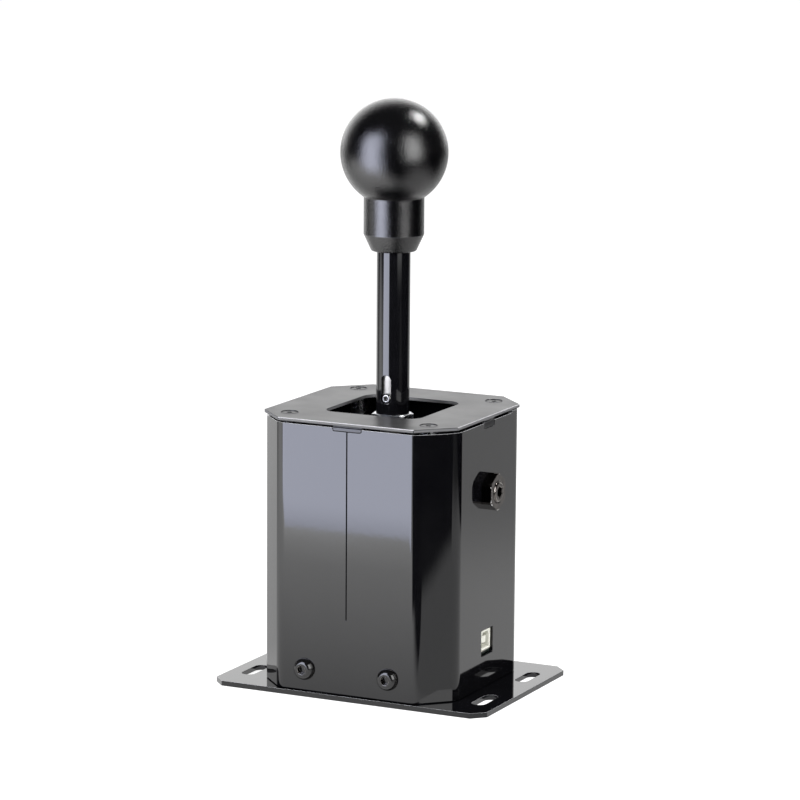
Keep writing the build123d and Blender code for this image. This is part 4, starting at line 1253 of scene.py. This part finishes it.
@dataclass
class Screws:
    """Every row of four screws, each grown from one pattern screw.

    Attributes:
        shank: Radius of a countersunk screw's shank, and the bevel at its end.
        head: Radius and height of a flat head's rim, from below up to its face.
        socket: Width across flats and depth of its socket.
        lid: Height of the top plate's screws, and their heads' depth and length.
        lid_seed: The seed of their turns.
        sunk: Height of the screws from beneath, and their heads' depth.
        sunk_rows: Their rows.
        button: Radius and height of a button-head screw, from its end to its top.
        button_socket: Width across flats and depth of its socket.
        button_pitch: Spacing of these screws across the front, and from front to back.
        button_height: Their height.
        button_seed: The seed of their turns.
    """

    shank: tuple[float, float] = (2.0, 0.3)
    head: tuple[tuple[float, float], ...] = ((3.7, -0.4), (3.7, -0.12), (3.6, -0.04), (0.0, -0.04))
    socket: tuple[float, float] = (2.5, 1.4)
    lid: tuple[float, float, float] = (133.8, 1.4, 10.0)
    lid_seed: int = 3
    sunk: tuple[float, float] = (0.1, 2.3)
    sunk_rows: tuple[SunkRow, ...] = (
        SunkRow("post_foot_screws", "post_screws", POST_PITCH, 12.0, 5),
        SunkRow("bracket_foot_screws", "bracket_screws", (40.0, 68.1), 5.3, 7),
        SunkRow("frame_foot_screws", "frame_screws", (45.872, 34.0), 12.0, 9),
    )
    button: tuple[tuple[float, float], ...] = (
        (0.0, -12.0), (2.6, -12.0), (3.0, -11.5), (3.0, 0.0), (5.0, 0.0), (5.3, 0.35), (5.15, 1.1),
        (4.8, 1.9), (4.2, 2.7), (3.6, 3.15), (3.2, 3.3), (0.0, 3.3),
    )
    button_socket: tuple[float, float] = (4.0, 2.2)
    button_pitch: tuple[float, float] = (44.0, 96.7)
    button_height: float = 13.1
    button_seed: int = 4

    def build(self) -> None:
        """Makes the rows."""
        rows = CornerRows()
        upright = (0.0, 0.0, 1.0)
        place, depth, length = self.lid
        lid = rows.grow(
            "window_plate_screws", self.flat_head(depth, length), POST_PITCH, mm(0, 0, place), "black_oxide",
            upright, seed=self.lid_seed,
        )
        settle(lid, "black_oxide", "casing", "top_plate_screws", finish="dry_black_oxide")

        place, depth = self.sunk
        for row in self.sunk_rows:
            screw = moved(self.flat_head(depth, row.length), ORIGIN, UPSIDE_DOWN)
            piece = rows.grow(
                row.name, screw, row.pitch, mm(0, 0, place), "black_oxide", upright, seed=row.seed
            )
            settle(piece, "black_oxide", "casing", row.node)

        button = moved(socket_part("button_pattern", self.button, *self.button_socket), ORIGIN, TO_DRIVER)
        sides = rows.grow(
            "button_head_screws", button, self.button_pitch, mm(0, 0, self.button_height), "black_oxide",
            (0.0, 1.0, 0.0), True, self.button_seed,
        )
        settle(sides, "black_oxide", "casing", "housing_screws")

    def flat_head(self, depth: float, length: float) -> bpy.types.Object:
        """Makes one M4 countersunk screw, its face at zero and its shank down.

        Args:
            depth: The head's depth.
            length: The screw's length.

        Returns:
            The screw.
        """
        radius, bevel = self.shank
        shank = [(0, -length), (radius - bevel, -length), (radius, bevel - length), (radius, -depth)]
        return socket_part("flat_head_pattern", [*shank, *self.head], *self.socket)


@dataclass
class UsbSocket:
    """USB-B socket: folded metal shell, moulded insert and four contacts.

    Attributes:
        edge: Width of the rounded edges of shell and insert.
        front: Where its mouth is, along X.
        height: Height of its middle.
        inset: How far behind the mouth the contacts start.
        tongue: Thickness of the tongue that carries the contacts.
        contact: Width, length and thickness of a contact.
        contact_edge: Width of its rounded edges.
        contact_pitch: Spacing of the contacts across the tongue.
    """

    edge: float = 0.15
    front: float = 50.0
    height: float = 25.05
    inset: float = 1.6
    tongue: float = 3.2
    contact: tuple[float, float, float] = (1.0, 6.0, 0.16)
    contact_edge: float = 0.04
    contact_pitch: float = 2.4

    def build(self) -> None:
        """Makes the shell, the insert and the contacts."""
        shell = soften(cad_copy("usb_shell", "usb_socket_shell"), self.edge)
        settle(shell, "nickel_plate", "casing", "usb_socket_shell")
        core = soften(cad_copy("usb_insert", "usb_socket_core"), self.edge)
        settle(core, "socket_plastic", "casing", "usb_socket_core")
        width, length, thick = self.contact
        half = width / 2
        outline = [(-half, 0), (half, 0), (half, length), (-half, length)]
        strip = prism("contact", outline, -thick / 2, thick / 2)
        strip = soften(moved(strip, ORIGIN, TO_DRIVER), self.contact_edge)
        pitch = (self.contact_pitch, self.tongue)
        contacts = CornerRows().grow("usb_contacts", strip, pitch, ORIGIN, "nickel_plate")
        lying = Matrix.Rotation(-math.pi / 2, 4, "Z") @ Matrix.Rotation(-math.pi / 2, 4, "X")
        moved(contacts, ORIGIN, lying)
        reach = max(v.co.x for v in contacts.data.vertices)
        moved(contacts, mm(self.front - self.inset - reach / MM, 0, self.height))
        settle(contacts, "nickel_plate", "casing")


@dataclass
class CentringSprings:
    """The two coils that bring the lever back to the middle column.

    Attributes:
        start: Where a coil starts in the lever block, along X.
        length: Its length.
        radius: Mean radius of the coil.
        wire: Diameter of the wire.
        turns: Number of turns.
        height: Height of its axis.
    """

    start: float = 7.55
    length: float = 11.866
    radius: float = 3.5
    wire: float = 1.0
    turns: float = 6.0
    height: float = 98.0

    def build(self) -> None:
        """Winds both coils and sets one on each side of the lever block."""
        rule = CoilRule()
        for side, sign, turn in (("left", -1.0, math.pi), ("right", 1.0, 0.0)):
            values = {
                "Radius": self.radius * MM, "Wire": self.wire * MM, "Length": self.length * MM,
                "Turns": self.turns, "Finish": palette.material("spring_steel"),
            }
            coil = grow(f"wound_spring_{side}", rule.tree, values)
            moved(coil, mm(self.start, 0, self.height), ALONG_X)
            moved(coil, ORIGIN, Matrix.Rotation(turn, 4, "Z"))
            coil.data.shade_smooth()
            palette.give(coil, "spring_steel")
            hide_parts(f"centring_spring_{side}")
            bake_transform(coil)
            log.info("%s: %d faces", coil.name, len(coil.data.polygons))


@dataclass
class InnerWorks:
    """The mechanism inside, whose CAD shapes stay and get their finishes."""

    def build(self) -> None:
        """Dresses each node that is still shown."""
        for row in frame["record"]["subparts"]:
            node = row["node"]
            if not frame["nodes"][node].hide_render:
                palette.dress_node(node, row["material_slot"])
                log.info("%s dressed as %s", node, row["material_slot"])


# The studio


def towards(azimuth: float) -> Vector:
    """The level direction of an azimuth, in degrees from the driver's side towards +X."""
    turn = math.radians(azimuth)
    return Vector((math.sin(turn), -math.cos(turn), 0.0))


def rays(tree: bpy.types.NodeTree) -> tuple[bpy.types.NodeSocket, bpy.types.NodeSocket]:
    """Tells rays apart.

    Args:
        tree: The shader tree.

    Returns:
        Whether a ray comes from the camera, and whether it is a reflection or goes through glass.
    """
    path = add(tree, "ShaderNodeLightPath").outputs
    either = {0: path["Is Glossy Ray"], 1: path["Is Transmission Ray"]}
    return path["Is Camera Ray"], add(tree, "ShaderNodeMath", either, operation="MAXIMUM").outputs[0]


def glow_in_reflections(
    card: bpy.types.Object, material: bpy.types.Material, glow: dict[str, object]
) -> None:
    """Lights a card and makes it part of the stage; only reflections see it.

    Args:
        card: The card.
        material: Its material, which lacks its end.
        glow: Inputs of its emission.
    """
    lit = add(material.node_tree, "ShaderNodeEmission", glow).outputs[0]
    add(material.node_tree, "ShaderNodeOutputMaterial", {"Surface": lit})
    card.data.materials.append(material)
    card.visible_camera = False
    card.visible_diffuse = False
    card.visible_shadow = False
    card.visible_volume_scatter = False


@dataclass(frozen=True)
class Card:
    """A softbox as reflections see it, standing on edge.

    Attributes:
        name: Its name.
        azimuth: Its direction from the part, in degrees from the driver's side towards +X.
        distance: How far it stands from the part's axis.
        width: Its width.
        low: Height of its lower edge.
        high: Height of its upper edge.
        glow: Its brightness, where 1 is white.
        edge: Share of its width and height over which it fades out.
        turn: How far it is turned from facing the part, in degrees.
        tint: Its colour, sRGB hex.
    """

    name: str
    azimuth: float
    distance: float
    width: float
    low: float
    high: float
    glow: float
    edge: float = 0.08
    turn: float = 0.0
    tint: str = "#ffffff"

    def build(self) -> None:
        """Stands the card up."""
        facing = math.radians(self.azimuth + self.turn)
        out = towards(self.azimuth)
        side = Vector((math.cos(facing), math.sin(facing), 0.0))
        work = bmesh.new()
        layer = work.loops.layers.uv.new("UVMap")
        corners = [(-1, self.low), (1, self.low), (1, self.high), (-1, self.high)]
        foot = out * self.distance * MM
        points = [foot + side * (s * self.width / 2 * MM) + mm(0, 0, z) for s, z in corners]
        face = work.faces.new([work.verts.new(p) for p in points])
        for loop, spot in zip(face.loops, ((0, 0), (1, 0), (1, 1), (0, 1))):
            loop[layer].uv = spot
        card = new_piece(self.name, work)
        material = bpy.data.materials.new(self.name)
        tree = emptied(material)
        place = add(tree, "ShaderNodeUVMap", uv_map="UVMap").outputs[0]
        spot = add(tree, "ShaderNodeSeparateXYZ", {0: place}).outputs
        strength: bpy.types.NodeSocket | float = self.glow
        for axis in ("X", "Y"):
            far = add(tree, "ShaderNodeMath", {0: 1.0, 1: spot[axis]}, operation="SUBTRACT").outputs[0]
            near = add(tree, "ShaderNodeMath", {0: spot[axis], 1: far}, operation="MINIMUM").outputs[0]
            fall = {"Value": near, "From Max": self.edge}
            fade = add(tree, "ShaderNodeMapRange", fall, interpolation_type="SMOOTHSTEP").outputs[0]
            strength = add(tree, "ShaderNodeMath", {0: fade, 1: strength}, operation="MULTIPLY").outputs[0]
        glow_in_reflections(card, material, {"Color": colour(self.tint), "Strength": strength})


@dataclass(frozen=True)
class HighCard:
    """A small bright card high behind on the right, which gives the ball its upper highlight.

    Attributes:
        name: Its name.
        way: Its direction from the ball; it stands one metre away.
        middle: Height of the ball's middle.
        half: Half its width, in metres.
        glow: Its brightness, where 1 is white.
    """

    name: str = "high_card"
    way: tuple[float, float, float] = (0.369, 0.521, 0.769)
    middle: float = 256.0
    half: float = 0.1
    glow: float = 48.0

    def build(self) -> None:
        """Hangs the card up."""
        way = Vector(self.way).normalized()
        work = bmesh.new()
        bmesh.ops.create_grid(work, x_segments=1, y_segments=1, size=self.half)
        card = new_piece(self.name, work)
        moved(card, mm(0, 0, self.middle) + way, (-way).to_track_quat("-Z", "Y").to_matrix().to_4x4())
        material = bpy.data.materials.new(self.name)
        emptied(material)
        glow_in_reflections(card, material, {"Strength": self.glow})


@dataclass(frozen=True)
class Lamp:
    """A soft square lamp that lights the part but isn't seen in it; the cards are seen instead.

    Attributes:
        name: Its name.
        azimuth: Its direction from the part, in degrees from the driver's side towards +X.
        distance: How far it hangs from the part's axis.
        height: Its height.
        size: Its width.
        power: Its power, in watts.
        aim: Height on the part's axis that it points to.
    """

    name: str
    azimuth: float
    distance: float
    height: float
    size: float
    power: float
    aim: float = 120.0

    def build(self) -> None:
        """Hangs the lamp up."""
        data = bpy.data.lights.new(self.name, "AREA")
        data.shape = "SQUARE"
        data.size = self.size * MM
        data.energy = self.power
        lamp = linked(self.name, data)
        turn = math.radians(self.azimuth)
        spot = mm(math.sin(turn) * self.distance, -math.cos(turn) * self.distance, self.height)
        aim = mm(0, 0, self.aim) - spot
        lamp.matrix_world = Matrix.Translation(spot) @ aim.to_track_quat("-Z", "Y").to_matrix().to_4x4()
        lamp.visible_camera = False
        lamp.visible_glossy = False


@dataclass(frozen=True)
class Line:
    """A brightness that changes across a straight line on the table.

    Attributes:
        azimuth: The way across the line, in degrees from the driver's side towards +X.
        start: How far from the part's axis the change starts, in metres.
        end: Where it ends.
        low: Brightness before it.
        high: Brightness after it.
    """

    azimuth: float
    start: float
    end: float
    low: float
    high: float

    def build(self, tree: bpy.types.NodeTree, place: bpy.types.NodeSocket) -> bpy.types.NodeSocket:
        """Adds the line to the table's shader.

        Args:
            tree: The table's tree.
            place: The point on the table.

        Returns:
            The brightness.
        """
        across = {0: place, 1: towards(self.azimuth)}
        reach = add(tree, "ShaderNodeVectorMath", across, operation="DOT_PRODUCT").outputs["Value"]
        span = {"From Min": self.start, "From Max": self.end, "To Min": self.low, "To Max": self.high}
        step = add(tree, "ShaderNodeMapRange", {"Value": reach, **span}, interpolation_type="SMOOTHSTEP")
        return step.outputs[0]


@dataclass(frozen=True)
class Table:
    """White table: plain white with a faint shadow to the camera; to reflections, painted light and painted
    shade on its top.

    Attributes:
        reach: Half its width, in metres.
        behind: Painted light behind the part, as the product of these lines.
        pool: Middle of the painted pool of light at the key card's foot.
        pool_shape: How much of a distance from there counts along X, Y and Z.
        pool_reach: How far the pool reaches, in metres.
        pool_fall: Share of that reach, and the brightness there.
        pool_side: The pool's strength, which ends at the part's right side.
        dark: Pairs of lines; past both lines of a pair the table gets painted shade.
        tint: The table's colour to light, sRGB hex.
        faint: How grey the camera's share of the table is, which keeps the shadow.
        white: Light added to that share, so that the open table is white.
    """

    reach: float = 6.0
    behind: tuple[Line, ...] = (
        Line(164.2, -0.085, -0.07, 0.03, 1.0),
        Line(154.0, 0.2, 0.5, 1.0, 0.66),
        Line(90.0, -0.7, -0.1, 1.26, 1.03),
        Line(90.0, 0.42, 0.62, 1.0, 0.15),
    )
    pool: tuple[float, float, float] = (-198.0, -380.0, 0.0)
    pool_shape: tuple[float, float, float] = (0.3, 1.0, 1.0)
    pool_reach: float = 0.52
    pool_fall: tuple[tuple[float, float], ...] = (
        (0.0, 1.0), (0.06, 0.78), (0.15, 0.62), (0.28, 0.54), (0.6, 0.33), (0.76, 0.2), (1.0, 0.0),
    )
    pool_side: Line = Line(90.0, 0.04, 0.12, 4.6, 0.0)
    dark: tuple[tuple[Line, Line], ...] = (
        (Line(84.4, 0.05, 0.072, 0.0, 1.0), Line(-5.6, 0.2, 0.26, 0.0, -1.0)),
        (Line(64.0, 0.065, 0.087, 0.0, 1.0), Line(154.0, 0.35, 0.41, 0.0, -1.0)),
    )
    tint: str = "#e6e6e6"
    faint: float = 0.3
    white: float = 0.885

    def build(self) -> None:
        """Lays the table out as the stage's floor."""
        work = bmesh.new()
        far = self.reach
        corners = ((-far, -far), (far, -far), (far, far), (-far, far))
        work.faces.new([work.verts.new((x, y, 0.0)) for x, y in corners])
        floor = new_piece("table", work)
        material = bpy.data.materials.new("white_table")
        tree = emptied(material)
        seen, mirrored = rays(tree)
        place = add(tree, "ShaderNodeTexCoord").outputs["Object"]
        # Reflections see painted light and painted shade on the table top, not the table's own lighting.
        level = {0: self.painted_back_light(tree, place), 1: self.painted_pool_light(tree, place)}
        top = add(tree, "ShaderNodeMath", level, operation="MAXIMUM").outputs[0]
        # Past both lines of a pair, the table gets painted shade.
        for past, beyond in self.dark:
            both = {0: past.build(tree, place), 1: beyond.build(tree, place), 2: 1.0}
            shade = add(tree, "ShaderNodeMath", both, operation="MULTIPLY_ADD").outputs[0]
            top = add(tree, "ShaderNodeMath", {0: top, 1: shade}, operation="MULTIPLY").outputs[0]
        lit = add(tree, "ShaderNodeEmission", {"Strength": top}).outputs[0]
        plain = add(tree, "ShaderNodeBsdfDiffuse", {"Color": colour(self.tint)}).outputs[0]
        grey = (self.faint, self.faint, self.faint, 1.0)
        shadowed = add(tree, "ShaderNodeBsdfDiffuse", {"Color": grey}).outputs[0]
        white = add(tree, "ShaderNodeEmission", {"Strength": self.white}).outputs[0]
        shown = add(tree, "ShaderNodeAddShader", {0: shadowed, 1: white}).outputs[0]
        other = add(tree, "ShaderNodeMixShader", {0: mirrored, 1: plain, 2: lit}).outputs[0]
        surface = add(tree, "ShaderNodeMixShader", {0: seen, 1: other, 2: shown}).outputs[0]
        add(tree, "ShaderNodeOutputMaterial", {"Surface": surface})
        floor.data.materials.append(material)

    def painted_back_light(self, tree: bpy.types.NodeTree, place: bpy.types.NodeSocket) -> bpy.types.NodeSocket:
        """Adds the painted light behind the part.

        Args:
            tree: The table's tree.
            place: The point on the table.

        Returns:
            The brightness.
        """
        light, *shares = (line.build(tree, place) for line in self.behind)
        for share in shares:
            light = add(tree, "ShaderNodeMath", {0: light, 1: share}, operation="MULTIPLY").outputs[0]
        return light

    def painted_pool_light(self, tree: bpy.types.NodeTree, place: bpy.types.NodeSocket) -> bpy.types.NodeSocket:
        """Adds the painted pool of light at the key card's foot.

        Args:
            tree: The table's tree.
            place: The point on the table.

        Returns:
            The brightness.
        """
        way = place
        for operation, value in (("SUBTRACT", mm(*self.pool)), ("MULTIPLY", self.pool_shape)):
            way = add(tree, "ShaderNodeVectorMath", {0: way, 1: value}, operation=operation).outputs[0]
        near = add(tree, "ShaderNodeVectorMath", {0: way}, operation="LENGTH").outputs["Value"]
        share = add(tree, "ShaderNodeMath", {0: near, 1: self.pool_reach}, operation="DIVIDE").outputs[0]
        fall = add(tree, "ShaderNodeValToRGB", {0: share})
        for at, _ in self.pool_fall[1:-1]:
            fall.color_ramp.elements.new(at)
        for element, (at, level) in zip(fall.color_ramp.elements, self.pool_fall):
            element.position = at
            element.color = (level, level, level, 1.0)
        pool = {0: fall.outputs[0], 1: self.pool_side.build(tree, place)}
        return add(tree, "ShaderNodeMath", pool, operation="MULTIPLY").outputs[0]


@dataclass(frozen=True)
class Studio:
    """White surroundings, table, cards, lamps and the photograph's camera.

    Attributes:
        azimuth: The camera's direction, in degrees from the driver's side towards +X.
        elevation: Its height above the horizon, in degrees.
        roll: Its roll, in degrees.
        distance: Its distance from the point it looks at.
        target: That point.
        lens: Its focal length.
        sensor: Width of its sensor.
        clip: Nearest and farthest distance that it shows, in metres.
        backdrop: The backdrop's direction, in degrees from the driver's side towards +X.
        back_span: Cosines of the angles from there at which the backdrop ends and is full.
        back_glow: Brightness of the backdrop in reflections.
        dim_glow: Brightness of the rest of the studio in reflections.
        fill: Even light from all round.
        table: The table.
        cards: The cards.
        lamps: The lamps.
        high_card: The card for the ball's highlight.
    """

    azimuth: float = 26.05
    elevation: float = 10.32
    roll: float = 0.41
    distance: float = 1809.0
    target: tuple[float, float, float] = (3.86, 0.0, 137.32)
    lens: float = 170.55
    sensor: float = 36.0
    clip: tuple[float, float] = (0.05, 30.0)
    backdrop: float = -148.0
    back_span: tuple[float, float] = (0.55, 0.87)
    back_glow: float = 1.75
    dim_glow: float = 0.04
    fill: float = 0.4
    table: Table = Table()
    cards: tuple[Card, ...] = (
        Card("key_card", -27.4, 428.7, 379.0, -33.0, 600.0, 9.2, turn=27.4, tint="#e8ecff"),
        Card("side_card", 67.5, 900.0, 602.0, 45.0, 980.0, 6.2, edge=0.125),
    )
    lamps: tuple[Lamp, ...] = (
        Lamp("key_lamp", -28.1, 900.0, 500.0, 500.0, 14.0),
        Lamp("side_lamp", 67.5, 1000.0, 600.0, 500.0, 9.0),
        Lamp("top_lamp", 150.0, 500.0, 1300.0, 500.0, 14.0),
    )
    high_card: HighCard = HighCard()

    def build(self) -> None:
        """Sets up the camera, the surroundings, the table, the cards and the lamps."""
        self.place_camera()
        self.light_surroundings()
        for fitting in (self.table, *self.cards, *self.lamps, self.high_card):
            fitting.build()

    def place_camera(self) -> None:
        """Sets the camera at the photograph's viewing angle."""
        az, el, roll = (math.radians(a) for a in (self.azimuth, self.elevation, self.roll))
        back = Vector((math.sin(az) * math.cos(el), -math.cos(az) * math.cos(el), math.sin(el)))
        level = Vector((math.cos(az), math.sin(az), 0.0))
        rise = back.cross(level)
        right = level * math.cos(roll) + rise * math.sin(roll)
        up = rise * math.cos(roll) - level * math.sin(roll)
        data = bpy.data.cameras.new("studio_camera")
        data.lens = self.lens
        data.sensor_width = self.sensor
        data.sensor_fit = "HORIZONTAL"
        data.clip_start, data.clip_end = self.clip
        camera = linked("studio_camera", data)
        eye = mm(*self.target) + back * self.distance * MM
        camera.matrix_world = Matrix.Translation(eye) @ Matrix((right, up, back)).transposed().to_4x4()
        bpy.context.scene.camera = camera

    def light_surroundings(self) -> None:
        """White to the camera, a backdrop in a dim room to reflections, an even fill to the rest."""
        world = bpy.data.worlds.new("studio")
        bpy.context.scene.world = world
        tree = emptied(world)
        seen, mirrored = rays(tree)
        way = {0: add(tree, "ShaderNodeTexCoord").outputs["Generated"], 1: towards(self.backdrop)}
        cosine = add(tree, "ShaderNodeVectorMath", way, operation="DOT_PRODUCT").outputs["Value"]
        start, full = self.back_span
        ends = {"Value": cosine, "From Min": start, "From Max": full}
        backward = add(tree, "ShaderNodeMapRange", ends, interpolation_type="SMOOTHSTEP").outputs[0]
        glows = {"Value": backward, "To Min": self.dim_glow, "To Max": self.back_glow}
        shown = add(tree, "ShaderNodeMapRange", glows).outputs[0]
        other = add(tree, "ShaderNodeMix", {SHARE: mirrored, NUMBER_A: self.fill, NUMBER_B: shown}).outputs[0]
        level = add(tree, "ShaderNodeMix", {SHARE: seen, NUMBER_A: other, NUMBER_B: 1.0}).outputs[0]
        sky = add(tree, "ShaderNodeBackground", {"Color": (1, 1, 1, 1), "Strength": level}).outputs[0]
        add(tree, "ShaderNodeOutputWorld", {"Surface": sky})


def main() -> None:
    """Builds every sub-assembly and the studio."""
    logging.basicConfig(level=logging.INFO, format="%(name)s %(message)s")
    bpy.context.scene.view_settings.view_transform = "Standard"
    parts = (SheetWork, Knob, Lever, Adjuster, Screws, UsbSocket, CentringSprings, InnerWorks, Studio)
    for part in parts:
        part().build()
        log.info("built %s", part.__name__)


if __name__ == "__main__":
    main()
